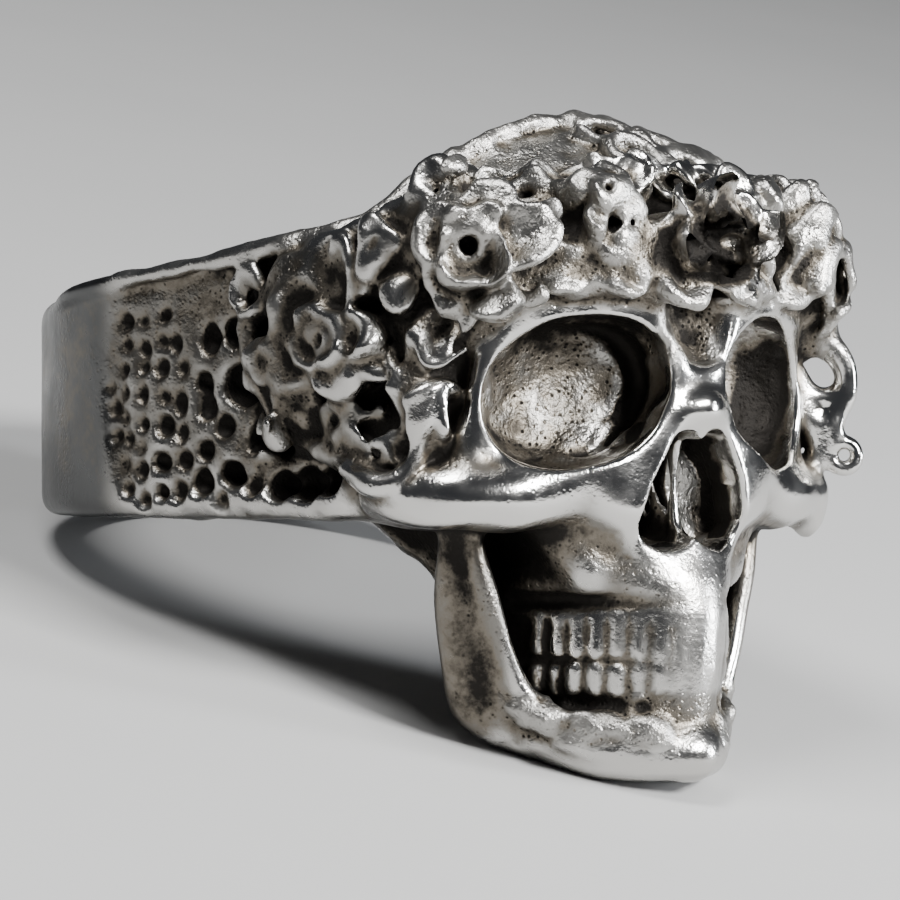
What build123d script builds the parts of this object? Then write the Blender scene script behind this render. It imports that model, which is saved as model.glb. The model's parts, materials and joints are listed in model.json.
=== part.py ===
"""A heavy skull ring, cast in silver as one piece.

The skull's face looks along -Y from the front of the band, its crown points up the ring's axis and its
chin hangs below the band. A wreath of blossoms and leaves lies round the brow and runs down both temples.
Round pits cover the shoulders of the band, and the back of the band is plain.

Everything is built about the ring's own axis, with X across the skull, -Y forward and Z towards the crown.
The last step tips the casting back until it rests on its jaw and on the back of the band, as it lies on a
table.
"""

import os
from math import asin, atan2, cos, degrees, hypot, radians, sin

from build123d import *

os.makedirs("parts", exist_ok=True)

# Band, in millimetres
bore_diameter = 19.8
band_wall = 1.6
band_width = 8.8
band_edge_round = 1.1
shoulder_lift = 1.6
shoulder_overhang = 0.9

# Skull
skull_width = 17.2
crown_height = 10.8
cranium_height = 15.4
cranium_offset = 1.8
chin_drop = 13.9
chin_reach = 11.9
chin_width = 4.4
jaw_width = 14.6
jaw_wall = 1.8
jaw_lip = 2.4
muzzle_width = 8.2
cheek_width = 14.4
tooth_line_drop = 9.5
tooth_width = 1.0
tooth_height = 1.7
tooth_count = 8
tooth_arch = 140
bite_gap = 0.3

# Eye sockets, nose and cheekbones
socket_diameter = 5.9
socket_spacing = 9.2
socket_lift = 0.4
socket_depth = 2.6
socket_rim = 0.6
socket_inset = 1.8
socket_turn = 22
nose_height = 4.8
nose_width = 3.6
nose_depth = 2.2
nose_rim = 0.5
nose_reach = 0.9
nasal_width = 2.1
cheekbone_drop = 3.7
cheekbone_thickness = 2.3

# Wreath
blossom_diameter = 5.0
petal_count = 5
petal_thickness = 0.8
petal_tilt = 24
leaf_length = 4.4
leaf_width = 1.9
leaf_thickness = 1.1
berry_diameter = 1.3
temple_swell = 1.4
swell_diameter = 6.8

# Pits on the shoulders
pit_diameter = 0.8
pit_growth = 1.9
pit_pitch = 1.15
pit_shallowness = 0.25
pit_columns = 8
pit_field = 7.6
pit_lift = 0.5
pit_start = 0.6

# Sizes that follow from the ones above
bore_radius = bore_diameter / 2
band_radius = bore_radius + band_wall
half_band = band_width / 2
cranium_radius = skull_width / 2
cranium_half_height = cranium_height / 2
cranium_forward = bore_radius + cranium_offset
cranium_lift = crown_height - cranium_half_height
cranium_center = Vector(0, -cranium_forward, cranium_lift)
forehead_forward = cranium_forward + cranium_radius
chin_forward = bore_radius + chin_reach
half_spacing = socket_spacing / 2
socket_radius = socket_diameter / 2
shoulder_radius = cranium_radius + shoulder_overhang
shoulder_end = cranium_forward + 2 * shoulder_overhang

# The band, whose shoulders run from its round back straight forward to the sides of the skull
shoulder_top = half_band + 1.4 * shoulder_lift
with BuildPart() as band:
    with BuildSketch(Plane.YZ):
        with BuildLine():
            Spline(
                (band_radius, half_band),
                (0, half_band + 0.35 * shoulder_lift),
                (-0.8 * bore_radius, half_band + 0.9 * shoulder_lift),
                (-shoulder_end, shoulder_top),
            )
            Polyline(
                (-shoulder_end, shoulder_top),
                (-shoulder_end, -half_band),
                (band_radius, -half_band),
                (band_radius, half_band),
            )
        make_face()
    extrude(amount=band_radius, both=True)
    with BuildSketch(Plane.XY.offset(-half_band)):
        with BuildLine():
            CenterArc((0, 0), band_radius, 0, 360)
            CenterArc((0, -cranium_forward), shoulder_radius, 0, 360)
        make_hull()
    extrude(amount=crown_height + half_band, mode=Mode.INTERSECT)
    bottom_edges = band.edges().group_by(Axis.Z)[0]
    fillet(bottom_edges.sort_by(Axis.Y)[1:], band_edge_round)

# The pits: columns that start beside the ring's axis, each with larger and fewer pits than the one behind.
# They sit a share of their size outside the wall, so each is a shallow bowl.
shoulder_slope = asin((band_radius - shoulder_radius) / cranium_forward)
with BuildPart() as pits:
    forward = pit_start
    for column in range(pit_columns):
        diameter = pit_diameter + (pit_growth - pit_diameter) * column / (pit_columns - 1)
        count = int(pit_field / (pit_pitch * diameter))
        turn = min(asin(forward / band_radius), shoulder_slope)
        half_width = (band_radius - forward * sin(turn)) / cos(turn)
        reach = half_width + pit_shallowness * diameter
        stagger = 0.3 if column % 2 == 0 else 0.7
        heights = [pit_field * ((row + stagger) / count - 0.5) + pit_lift for row in range(count)]
        with Locations(*[
            Location((side * reach, -forward, height), (0, 0, 90 - side * 90))
            for side in (-1, 1)
            for height in heights
        ]):
            Sphere(hypot(0.5, pit_shallowness) * diameter)
        forward += pit_pitch * diameter

# The cranium, whose outline is a flatter arc above and below and a rounder one at the side
side_round = 0.93 * cranium_half_height
side_center = cranium_radius - side_round
cap_margin = cranium_half_height - side_round
cap_drop = (side_center**2 - cap_margin**2) / (2 * cap_margin)
cap_round = cranium_half_height + cap_drop
cap_angle = degrees(atan2(cap_drop, side_center))
with BuildPart() as cranium:
    with BuildSketch(Plane.XZ.offset(cranium_forward)):
        with BuildLine():
            CenterArc((0, cranium_lift + cap_drop), cap_round, -90, 90 - cap_angle)
            CenterArc((side_center, cranium_lift), side_round, -cap_angle, 2 * cap_angle)
            CenterArc((0, cranium_lift - cap_drop), cap_round, cap_angle, 90 - cap_angle)
            Line((0, crown_height), (0, crown_height - cranium_height))
        make_face()
    revolve(axis=Axis((0, -cranium_forward, 0), (0, 0, 1)))

# The face, lofted from the brow down to the chin. Each section is a hull round one circle in front and two
# at the sides. A row gives its height, the reach of the front circle and the half width, and then shares of
# the cranium's radius: the front circle's radius, and the side circles' distance forward and radius.
face_sections = (
    (socket_lift + socket_radius, forehead_forward, 0.9 * cranium_radius, 0.21, 0.45, 0.26),
    (-0.85 * cheekbone_drop, forehead_forward + 0.5 * nose_reach, cheek_width / 2, 0.23, 0.5, 0.26),
    (-0.7 * tooth_line_drop, chin_forward - 0.6 * tooth_width, 0.6 * muzzle_width, 0.28, 0.5, 0.23),
    (0.8 * jaw_lip - chin_drop, chin_forward - 0.3 * tooth_width, 0.45 * muzzle_width, 0.32, 0.45, 0.19),
)
with BuildPart() as face:
    for height, reach, half_width, *shares in face_sections:
        front_radius, forward, side_radius = [share * cranium_radius for share in shares]
        with BuildSketch(Plane.XY.offset(height)):
            with BuildLine():
                CenterArc((0, front_radius - reach), front_radius, 0, 360)
                for side in (-1, 1):
                    center = (side * (half_width - side_radius), -cranium_forward - forward)
                    CenterArc(center, side_radius, 0, 360)
            make_hull()
    loft()

# The base of the skull, which joins the face to the front of the band
face_middle = cranium_forward + 0.5 * cranium_radius
with BuildPart() as base:
    with BuildSketch(Plane.YZ):
        with BuildLine():
            Polyline(
                (0.3 * band_wall - bore_radius, crown_height / 2),
                (0.3 * band_wall - bore_radius, -half_band),
                (-bore_radius - 0.7 * band_wall, -half_band),
                (-cranium_forward - 0.4 * jaw_wall, -0.5 * chin_drop),
                (-cranium_forward - 2 * jaw_wall, -0.8 * chin_drop),
                (-face_middle, -0.8 * chin_drop),
                (-face_middle, crown_height / 2),
                close=True,
            )
        make_face()
    extrude(amount=0.42 * muzzle_width, both=True)

# The lower jaw, wide at its corners and narrow at the chin, cut to its side outline and hollow behind
jaw_corner = 0.16 * jaw_width / 2
jaw_corner_forward = cranium_forward + 2.2 * jaw_wall
jaw_top = cheekbone_thickness / 4 - cheekbone_drop
with BuildPart() as jaw:
    for height, spread, forward in (
        (-chin_drop, 0.86, cranium_forward + 1.5 * jaw_wall),
        (jaw_top, 1.0, jaw_corner_forward),
    ):
        with BuildSketch(Plane.XY.offset(height)):
            with BuildLine():
                CenterArc((0, chin_width / 2 - chin_forward), chin_width / 2, 0, 360)
                for side in (-1, 1):
                    center = (side * (spread * jaw_width / 2 - jaw_corner), -forward)
                    CenterArc(center, jaw_corner, 0, 360)
            make_hull()
    loft()
    with BuildSketch(Plane.YZ):
        with BuildLine():
            Spline(
                (-jaw_corner_forward - 0.8 * jaw_wall, jaw_top),
                (-jaw_corner_forward - jaw_wall, -0.54 * chin_drop),
                (-jaw_corner_forward - 1.6 * jaw_wall, -0.72 * chin_drop),
                (-chin_forward, jaw_lip - chin_drop),
            )
            Polyline(
                (-chin_forward, jaw_lip - chin_drop),
                (-chin_forward, -chin_drop),
                (-chin_forward + 0.8 * chin_width, -chin_drop),
                (-cranium_forward - 1.8 * jaw_wall, 0.8 * jaw_lip - chin_drop),
                (-cranium_forward - jaw_wall, -0.5 * chin_drop),
                (-cranium_forward - jaw_wall, jaw_top),
                (-jaw_corner_forward - 0.8 * jaw_wall, jaw_top),
            )
        make_face()
    extrude(amount=jaw_width, both=True, mode=Mode.INTERSECT)
    with BuildSketch(Plane.XY.offset(1.2 * jaw_lip - chin_drop)):
        with BuildLine():
            Polyline(
                (-0.86 * jaw_width / 2 + jaw_wall, -cranium_forward),
                (-jaw_width / 2 + jaw_wall, -jaw_corner_forward),
                (0, jaw_wall - chin_forward),
                (jaw_width / 2 - jaw_wall, -jaw_corner_forward),
                (0.86 * jaw_width / 2 - jaw_wall, -cranium_forward),
                close=True,
            )
        make_face()
    extrude(amount=chin_drop, mode=Mode.SUBTRACT)

# The cheekbones, which run back from below the sockets, and the outer rims of the sockets
cheek_forward = forehead_forward - 0.3 * cranium_radius
post_back = 0.17 * cheekbone_thickness
post_top = socket_lift + 0.5 * socket_radius
with BuildPart() as cheekbones:
    for side in (-1, 1):
        with BuildLine() as cheekbone:
            FilletPolyline(
                (side * half_spacing, cheekbone_thickness / 3 - cheek_forward, -cheekbone_drop),
                (side * 0.9 * cranium_radius, -cheek_forward, -cheekbone_drop),
                (side * 1.04 * cranium_radius, 0.25 * cranium_radius - cheek_forward, -cheekbone_drop),
                (side * 1.04 * cranium_radius, 0.75 * cranium_radius - cheek_forward, -cheekbone_drop),
                radius=0.7 * cheekbone_thickness,
            )
        with BuildSketch(Plane(origin=cheekbone.line @ 0, z_dir=cheekbone.line % 0)):
            Circle(cheekbone_thickness / 2)
        sweep(path=cheekbone.line)
        foot = Vector(side * 0.9 * cranium_radius, post_back - cheek_forward, -cheekbone_drop)
        top = Vector(side * 0.8 * cranium_radius, post_back - cheek_forward, post_top)
        with BuildSketch(Plane(origin=foot, z_dir=top - foot)):
            Circle(cheekbone_thickness / 2)
        extrude(amount=(top - foot).length)
        with Locations(top):
            Sphere(cheekbone_thickness / 2)

# The eye sockets: a raised rim round each, and the ball that hollows it
socket_planes = [
    Plane(
        origin=(side * half_spacing, socket_inset - forehead_forward, socket_lift),
        x_dir=(cos(radians(socket_turn)), side * sin(radians(socket_turn)), 0),
        z_dir=(side * sin(radians(socket_turn)), -cos(radians(socket_turn)), 0),
    )
    for side in (-1, 1)
]
with BuildPart() as socket_rims:
    with Locations(*socket_planes):
        Torus(socket_radius + socket_rim / 3, socket_rim)
ball_radius = (socket_radius**2 + socket_depth**2) / (2 * socket_depth)
with BuildPart() as sockets:
    with Locations(*[plane.offset(ball_radius - socket_depth) for plane in socket_planes]):
        Sphere(ball_radius)

# The nose: the bridge, the rim round the opening, and its two halves
nose_top = -0.2 * nose_height
nose_foot = nose_top - nose_height
foot_radius = nose_width / 4
with BuildPart() as nose:
    bridge_top = Vector(0, nasal_width / 2 - forehead_forward, socket_lift + 0.7 * socket_radius)
    bridge_end = Vector(0, nasal_width / 2 - forehead_forward - nose_reach, 0)
    with BuildSketch(Plane(origin=bridge_top, z_dir=bridge_end - bridge_top)):
        Circle(nasal_width / 2)
    extrude(amount=(bridge_end - bridge_top).length)
    with Locations(bridge_top, bridge_end):
        Sphere(nasal_width / 2)
    with BuildSketch(Plane.XZ.offset(forehead_forward - nose_depth)):
        with BuildLine():
            CenterArc((0, nose_top), foot_radius + nose_rim, 0, 360)
            for side in (-1, 1):
                CenterArc((side * foot_radius, nose_foot + foot_radius), foot_radius + nose_rim, 0, 360)
        make_hull()
    extrude(amount=nose_depth + nose_reach)
with BuildPart() as nostrils:
    for side in (-1, 1):
        with BuildSketch(Plane.XZ.offset(forehead_forward + nose_reach - nose_depth)):
            with BuildLine():
                CenterArc((side * 0.62 * foot_radius, nose_top), 0.36 * foot_radius, 0, 360)
                CenterArc((side * 1.1 * foot_radius, nose_foot + foot_radius), 0.8 * foot_radius, 0, 360)
            make_hull()
        extrude(amount=2 * nose_depth)

# The teeth, two rows of round pegs along the front of the muzzle
tooth_arch_radius = 0.36 * muzzle_width
with BuildPart() as teeth:
    for row in (-1, 1):
        level = row * (tooth_height + bite_gap) / 2 - tooth_line_drop
        with Locations((0, tooth_arch_radius - chin_forward + 0.3 * tooth_width, level)):
            start = -90 - tooth_arch / 2
            with PolarLocations(tooth_arch_radius, tooth_count, start, tooth_arch, endpoint=True):
                Cylinder(tooth_width / 2, tooth_height)


def wreath_plane(azimuth, elevation, lift=0.0):
    """The plane that touches the cranium, azimuth degrees round from the forehead and elevation up."""
    turn, rise = radians(azimuth), radians(elevation)
    outward = Vector(sin(turn) * cos(rise), -cos(turn) * cos(rise), sin(rise))
    reach = 1 / hypot(cos(rise) / cranium_radius, sin(rise) / cranium_half_height)
    sideways = Vector(cos(turn), sin(turn), 0)
    return Plane(origin=cranium_center + outward * (reach + lift), x_dir=sideways, z_dir=outward)


# The wreath stands out furthest over the outer corners of the sockets, on a swelling of the brow
with BuildPart() as swellings:
    with Locations(*[wreath_plane(side * 54, 14, temple_swell - swell_diameter / 2) for side in (-1, 1)]):
        Sphere(swell_diameter / 2)

# The wreath: five blossoms, with leaves and berries between them. Each row gives how far round from the
# forehead and how far up it lies, in degrees, then for a blossom how far a swelling lifts it, and for a leaf
# how far it is turned.
blossom_lift = 0.8 * temple_swell
blossom_rows = ((0, 20, 0), (-50, 16, blossom_lift), (50, 16, blossom_lift), (-82, -6, 0), (82, -6, 0))
leaf_rows = (
    (-24, 10, 30), (24, 10, -30), (-25, 27, -25), (25, 27, 25), (-70, 20, 60), (70, 20, -60),
    (-70, -14, 80), (70, -14, -80), (-76, 8, 10), (76, 8, -10), (-104, 4, 60), (104, 4, -60),
    (-98, -20, 20), (98, -20, -20), (0, 34, 90), (-40, 34, 0), (40, 34, 0),
)
berry_rows = ((-14, 8), (14, 8), (-36, 4), (36, 4), (-66, 6), (66, 6), (-72, -22), (72, -22))
petal_radius = 0.27 * blossom_diameter
with BuildPart() as blossom:
    Cylinder(petal_radius, 2 * petal_thickness)
    with PolarLocations(blossom_diameter / 2 - petal_radius, petal_count):
        Cylinder(petal_radius, petal_thickness, rotation=(0, -petal_tilt, 0))
    with Locations((0, 0, petal_thickness)):
        Sphere(0.6 * petal_radius)
with BuildPart() as blossoms:
    with Locations(*[
        wreath_plane(azimuth, elevation, petal_thickness + lift) for azimuth, elevation, lift in blossom_rows
    ]):
        add(blossom.part)
with BuildPart() as leaves:
    for azimuth, elevation, turn in leaf_rows:
        with BuildSketch(wreath_plane(azimuth, elevation).rotated((0, 0, turn))):
            with BuildLine():
                ThreePointArc((-leaf_length / 2, 0), (0, leaf_width / 2), (leaf_length / 2, 0))
                ThreePointArc((leaf_length / 2, 0), (0, -leaf_width / 2), (-leaf_length / 2, 0))
            make_face()
        extrude(amount=leaf_thickness, both=True)
with BuildPart() as berries:
    with Locations(*[wreath_plane(*row, berry_diameter / 2) for row in berry_rows]):
        Sphere(berry_diameter / 2)

# The casting: the band and the head run together round the bore, and then carry the relief
with BuildPart() as ring_casting:
    add(band.part)
    add(pits.part, mode=Mode.SUBTRACT)
    add([cranium.part, face.part, base.part, swellings.part])
    Cylinder(bore_radius, 2 * (chin_drop + crown_height), mode=Mode.SUBTRACT)
    add([jaw.part, cheekbones.part, socket_rims.part, nose.part, teeth.part])
    add([sockets.part, nostrils.part], mode=Mode.SUBTRACT)
    add([leaves.part, berries.part])
    add(blossoms.part)

# At rest the casting leans back on the rear edge of its jaw and on the rounded lower edge of the band
run = band_radius - band_edge_round + chin_forward - 0.8 * chin_width
rise = chin_drop - half_band + band_edge_round
rest_tilt = degrees(atan2(rise, run) - asin(band_edge_round / hypot(run, rise)))
tipped = ring_casting.part.rotate(Axis.X, -rest_tilt)
box = tipped.bounding_box()
with BuildPart() as ring:
    with Locations((-box.center().X, -box.center().Y, -box.min.Z)):
        add(tipped)
ring.part.label = "ring_casting"
export_step(ring.part, "parts/ring_casting.step")

lean = radians(rest_tilt)
print(f"ring centre at y {-box.center().Y:.3f}, z {-box.min.Z:.3f}")
print(f"bore axis 0, {sin(lean):.5f}, {cos(lean):.5f}")
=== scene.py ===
# %% [markdown]
# A silver skull ring, sculpted in wax and cast in one piece
#
# The real ring was carved and built up in wax, then cast in silver, blackened and polished. This lesson
# works the same way. The wax is a block of points on a fine grid, and each point holds its distance to the
# surface. Forms are melted on and hollows are carved out by joining distances, so that everything runs
# together as it does in a casting. At the end one skin is drawn round the wax, and it gets the finish of
# the metal.

import json

import bpy
import numpy as np
from mathutils import Matrix, Vector


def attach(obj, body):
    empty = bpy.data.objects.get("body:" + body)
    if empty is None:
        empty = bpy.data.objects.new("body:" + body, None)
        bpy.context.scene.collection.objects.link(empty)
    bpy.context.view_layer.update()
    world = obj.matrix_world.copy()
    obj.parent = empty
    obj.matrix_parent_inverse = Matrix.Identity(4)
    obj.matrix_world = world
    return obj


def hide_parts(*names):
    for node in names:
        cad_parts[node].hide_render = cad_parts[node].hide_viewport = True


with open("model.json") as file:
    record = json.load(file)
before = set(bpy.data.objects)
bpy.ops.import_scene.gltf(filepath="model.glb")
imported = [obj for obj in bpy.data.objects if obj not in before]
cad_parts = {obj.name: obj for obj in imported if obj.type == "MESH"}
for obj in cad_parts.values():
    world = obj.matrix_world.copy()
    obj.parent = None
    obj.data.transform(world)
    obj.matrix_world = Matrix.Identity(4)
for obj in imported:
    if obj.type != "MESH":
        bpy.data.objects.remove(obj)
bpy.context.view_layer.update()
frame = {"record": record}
finger = frame["record"]["mounts"][0]

# %% [markdown]
# The ring leans back as it lies, so it is easier to carve upright and to tip at the end. In the carving
# frame x runs across the skull, f forward from the bore's axis and z up that axis, all in millimetres. The
# finger hole's place and axis in the record say how that frame lies in the room.

# %% The carving frame
MM = 0.001
ring_place = Vector(finger["pos_m"])
ring_up = Vector(finger["axis"]).normalized()
ring_back = Vector((0, ring_up.z, -ring_up.y))
bore_radius = finger["dims"]["r_mm"]
to_room = Matrix((
    (MM, 0, 0, ring_place.x),
    (0, -ring_back.y * MM, ring_up.y * MM, ring_place.y),
    (0, -ring_back.z * MM, ring_up.z * MM, ring_place.z),
    (0, 0, 0, 1),
))
floor_normal = np.array([0, -ring_back.z, ring_up.z])
floor_height = ring_place.z / MM
ring_lean = np.degrees(np.arctan2(ring_up.y, ring_up.z))
print("bore radius, mm:", bore_radius, "lean, degrees:", round(ring_lean, 2))

# %% [markdown]
# The block of wax is a grid of numbers. Each form only touches the points in its own window, so a hundred
# small forms cost no more than one large one. Two forms melt together over a chosen width, the way a hot
# tool joins wax, and a hollow is carved with the same softness.

# %% The block of wax
quick_pitch, fine_pitch, far_depth = 0.2, 0.11, 3
pitch = fine_pitch


def melt(a, b, width):
    """Two forms joined over a width, as wax runs together."""
    share = np.clip(0.5 + 0.5 * (b - a) / width, 0, 1)
    return b + (a - b) * share - width * share * (1 - share)


def keep(width, first, *others):
    """What several forms have in common, with rounded edges between them."""
    for other in others:
        first = -melt(-first, -other, width)
    return first


class Wax:
    """The block: each grid point's distance to the wax's surface, less than 0 inside the wax."""

    def __init__(self, low, high):
        self.axes = [np.arange(a, b, pitch, dtype=np.float32) for a, b in zip(low, high)]
        self.depth = np.full([len(axis) for axis in self.axes], far_depth, np.float32)

    def volume(self):
        return round(float((self.depth < 0).sum() * pitch**3))

    def window(self, low, high):
        cuts = tuple(slice(*np.searchsorted(axis, pair)) for axis, pair in zip(self.axes, zip(low, high)))
        spots = np.meshgrid(*[axis[cut] for axis, cut in zip(self.axes, cuts)], indexing="ij", sparse=True)
        return cuts, spots

    def build(self, form, low, high, width=0.2):
        cuts, spots = self.window(low, high)
        if self.depth[cuts].size:
            self.depth[cuts] = melt(self.depth[cuts], form(*spots), width)

    def carve(self, form, low, high, width=0.2):
        cuts, spots = self.window(low, high)
        if self.depth[cuts].size:
            self.depth[cuts] = keep(width, self.depth[cuts], -form(*spots))

    def both(self, work, form, low, high, width=0.2):
        """Works the same form on the skull's two sides."""
        work(form, low, high, width)
        work(lambda x, f, z: form(-x, f, z), (-high[0], low[1], low[2]), (-low[0], high[1], high[2]), width)


block_low, block_high = (-12.3, -12.2, -14.6), (12.3, 23.0, 12.4)
wax = Wax(block_low, block_high)
everywhere = (block_low, block_high)
print("grid points:", wax.depth.shape, wax.depth.size)

# %% [markdown]
# Most of the skull's parts are simple shapes that every carver knows: an egg, a bar of changing thickness
# and a plate between two edges. A bar follows a few chosen points, rounded into a smooth line, and is built
# up from short capsules. The same few shapes serve for the cheekbones, the jaw, stems, curls and rims.

# %% Eggs, bars and plates


def egg(center, radii, turn=0.0):
    """An egg whose long axis may be turned about the upright, in degrees."""
    c, s = np.cos(np.radians(turn)), np.sin(np.radians(turn))

    def form(x, f, z):
        x, f, z = x - center[0], f - center[1], z - center[2]
        u, v = (c * x + s * f) / radii[0], (c * f - s * x) / radii[1]
        w = z / radii[2]
        near = np.sqrt(u * u + v * v + w * w) + 1e-6
        steep = np.sqrt((u / radii[0]) ** 2 + (v / radii[1]) ** 2 + (w / radii[2]) ** 2) + 1e-6
        return near * (near - 1) / steep

    return form


def smooth_line(points, steps=6):
    """A smooth line through the given rows, whose extra columns such as a radius are smoothed with it."""
    points = np.array(points, float)
    ends = np.vstack([2 * points[0] - points[1], points, 2 * points[-1] - points[-2]])
    t = np.linspace(0, 1, steps, endpoint=False)[:, None]
    rows = [
        0.5 * (2 * b + (c - a) * t + (2 * a - 5 * b + 4 * c - d) * t**2 + (3 * b - a - 3 * c + d) * t**3)
        for a, b, c, d in zip(ends, ends[1:], ends[2:], ends[3:])
    ]
    return np.vstack(rows + [points[-1:]])


def capsule(a, b):
    """A bar with round ends between two rows of x, f, z and radius."""
    a, b = np.asarray(a), np.asarray(b)
    along = b - a
    long = max(float(along[:3] @ along[:3]), 1e-9)

    def form(x, f, z):
        x, f, z = x - a[0], f - a[1], z - a[2]
        t = np.clip((x * along[0] + f * along[1] + z * along[2]) / long, 0, 1)
        x, f, z = x - t * along[0], f - t * along[1], z - t * along[2]
        return np.sqrt(x**2 + f**2 + z**2) - a[3] - t * along[3]

    return form


def all_of(forms):
    """Several forms taken as one before they touch the wax, so it isn't swollen where they join."""

    def whole(x, f, z):
        least = forms[0](x, f, z)
        for form in forms[1:]:
            least = np.minimum(least, form(x, f, z))
        return least

    return whole


def bar(work, points, width=0.2, steps=5):
    """Works a bar along a smooth line through rows of x, f, z and radius."""
    rows = smooth_line(points, steps)
    reach = rows[:, 3].max() + width + 2 * pitch
    low, high = rows[:, :3].min(0) - reach, rows[:, :3].max(0) + reach
    work(all_of([capsule(a, b) for a, b in zip(rows, rows[1:])]), low, high, width)


def sheet_between(edge_a, edge_b, radius, count=24):
    """A plate of even thickness between two smooth lines, and the window that it fills."""
    a, b = smooth_line(edge_a, 8), smooth_line(edge_b, 8)
    pick = np.linspace(0, 1, count)

    def even(line):
        at = np.linspace(0, 1, len(line))
        return np.stack([np.interp(pick, at, line[:, i]) for i in range(3)], 1)

    a, b = even(a), even(b)
    ribs = [capsule((*start, radius), (*stop, radius)) for start, stop in zip(a, b)]
    both, reach = np.vstack([a, b]), radius + 0.8
    return all_of(ribs), both.min(0) - reach, both.max(0) + reach


print("tools ready")

# %% [markdown]
# The band is a plain strip at the back, and its shoulders run straight forward to the temples. Seen from
# above its outline is a large circle joined to a smaller one, which has an exact distance. Its lower edge
# is level and its upper edge climbs slowly, then sweeps up to the crown in one hollow curve. Above the
# lower edge the wall is upright, so the height of the upper edge only depends on how far forward a point
# lies.

# %% The band
band_wall, half_band = 1.6, 4.4
band_radius = bore_radius + band_wall
head_forward, head_radius, head_half_height, head_lift = 11.7, 8.6, 7.7, 3.1
temple_radius = 9.5
upper_edge_forward = (-11.5, -7.5, -2, 2.6, 6.5, 9.6, 12)
upper_edge_height = (3.9, 4.0, 4.4, 5.0, 5.5, 6.05, 6.6)


def band_outline(x, f):
    """The distance from the band's outer wall, seen from above, less than 0 inside it."""
    across = np.abs(x)
    lean = (band_radius - temple_radius) / head_forward
    upright = np.sqrt(1 - lean**2)
    along = upright * f - lean * across
    back = np.hypot(across, f) - band_radius
    front = np.hypot(across, f - head_forward) - temple_radius
    side = upright * across + lean * f - band_radius
    return np.where(along < 0, back, np.where(along > upright * head_forward, front, side))


def band(x, f, z):
    top = np.interp(f, upper_edge_forward, upper_edge_height)
    return keep(0.9, band_outline(x, f), -half_band - z, z - top)


wax.build(band, *everywhere, 0.1)
print("wax so far, mm3:", wax.volume())

# %% [markdown]
# The cranium is an egg that the wreath will cover. The face in front of it is flatter: seen from above it
# is a shallow curve that falls back towards the temples, and it carries the eye sockets. The muzzle is a
# column with a tighter curve. Both are made from a curve for how far forward the bone reaches, which is
# quick to match to a photograph of the real ring.

# %% The cranium, face and muzzle
cranium = egg((0, head_forward, head_lift), (head_radius, head_radius, head_half_height))
face_front, face_curve, face_upright, cheek_fall, brow_fall = 20.6, 0.043, 2.5, 0.05, 0.06
face_top, head_inside = 3.6, 12.5


def face_reach(x, z):
    """How far forward the face lies: upright in the middle, falling back below, above and to the sides."""
    below, above = np.clip(-z - face_upright, 0, 9), np.clip(z - face_upright, 0, 9)
    return face_front - face_curve * x * x - cheek_fall * below**2 - brow_fall * above**2


def face(x, f, z):
    front = (f - face_reach(x, z)) / np.sqrt(1 + (2 * face_curve * x) ** 2)
    side = np.abs(x) - np.interp(z, (-7, -4, -1, 2, 5), (5.0, 7.9, 8.2, 7.7, 6.0))
    under = np.interp(np.abs(x), (0, 2.8, 4.6, 6.8), (-4.8, -4.2, -3.0, -4.4))
    return keep(1.3, front, side, z - face_top, under - z, head_inside - f)


curve_heights = (-13, -10, -8.3, -7.5, -6.2, -5, -3.6, -2)
curve_amounts = (0.29, 0.30, 0.29, 0.25, 0.175, 0.105, 0.07, 0.055)
muzzle_heights = (-14, -13, -11.8, -10.9, -9, -7.6, -6.4, -5.2, -4, -2, -1)
muzzle_reaches = (21.4, 21.5, 21.2, 21.4, 21.65, 21.7, 21.4, 20.85, 20.5, 20.4, 20.3)


def muzzle(x, f, z):
    tight = np.interp(z, curve_heights, curve_amounts)
    front = f - np.interp(z, muzzle_heights, muzzle_reaches) + tight * x * x
    front = front / np.sqrt(1 + (2 * tight * x) ** 2)
    foot = np.interp(f, (12.5, 14.5, 16.5, 19), (-9.8, -11.6, -12.9, -13.4))
    side = np.abs(x) - np.interp(z, (-9, -6, -4.5), (4.9, 4.6, 4.3))
    return keep(0.9, front, side, foot - z, z + 1, head_inside - f)


wax.build(cranium, (-9.5, 2.5, -5.5), (9.5, 21, 11.6), 0.6)
wax.build(face, (-9.6, 11.5, -6.5), (9.6, 21.5, 6.5), 1.8)
wax.build(muzzle, (-6.5, 11.5, -14.5), (6.5, 22.8, 0.8), 1.2)
print("wax so far, mm3:", wax.volume())

# %% [markdown]
# The neck joins the head to the band. Behind the crown's rim the wax slopes down to the finger hole.

# %% The neck and the back of the crown


def bore(x, f, z):
    return np.hypot(x, f) - bore_radius + 0 * z


def behind_crown(x, f, z):
    """The slope from the crown's rim down to the bore, less than 0 above it."""
    return (np.maximum(9.5 - 0.09 * x * x, 6.3) + 0.36 * (f - bore_radius) - z) * 0.9


def neck(x, f, z):
    level = np.interp(f, (9.0, 10.4, 10.9, 12.5, 14.5, 20), (-5.3, -6.4, -7.4, -9.4, -11.0, -11.5))
    wide = np.interp(z, (-9, -6.5, -4.4), (3.4, 4.0, 5.2))
    return keep(0.6, np.abs(x) - wide, level - z, z + 3, 8.0 - f, f - 18)


wax.carve(behind_crown, (-9.5, 4, 5.0), (9.5, 14.6, 12), 0.3)
wax.build(neck, (-6, 7.5, -13), (6, 18.5, -2), 0.6)
print("wax so far, mm3:", wax.volume())

# %% [markdown]
# The lower jaw is a bent plate. Its corners hang below the cheekbones as thin upright plates with a sharp
# front edge, and its body is a thick rounded bar that narrows to the chin. Between the plate and the muzzle
# lies a deep hollow, closed at the back by a wall, which the blackening turns almost black.

# %% The lower jaw


def on_both_sides(work):
    """The same work on the skull's left and right."""
    return lambda form, low, high, width: wax.both(work, form, low, high, width)


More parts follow.
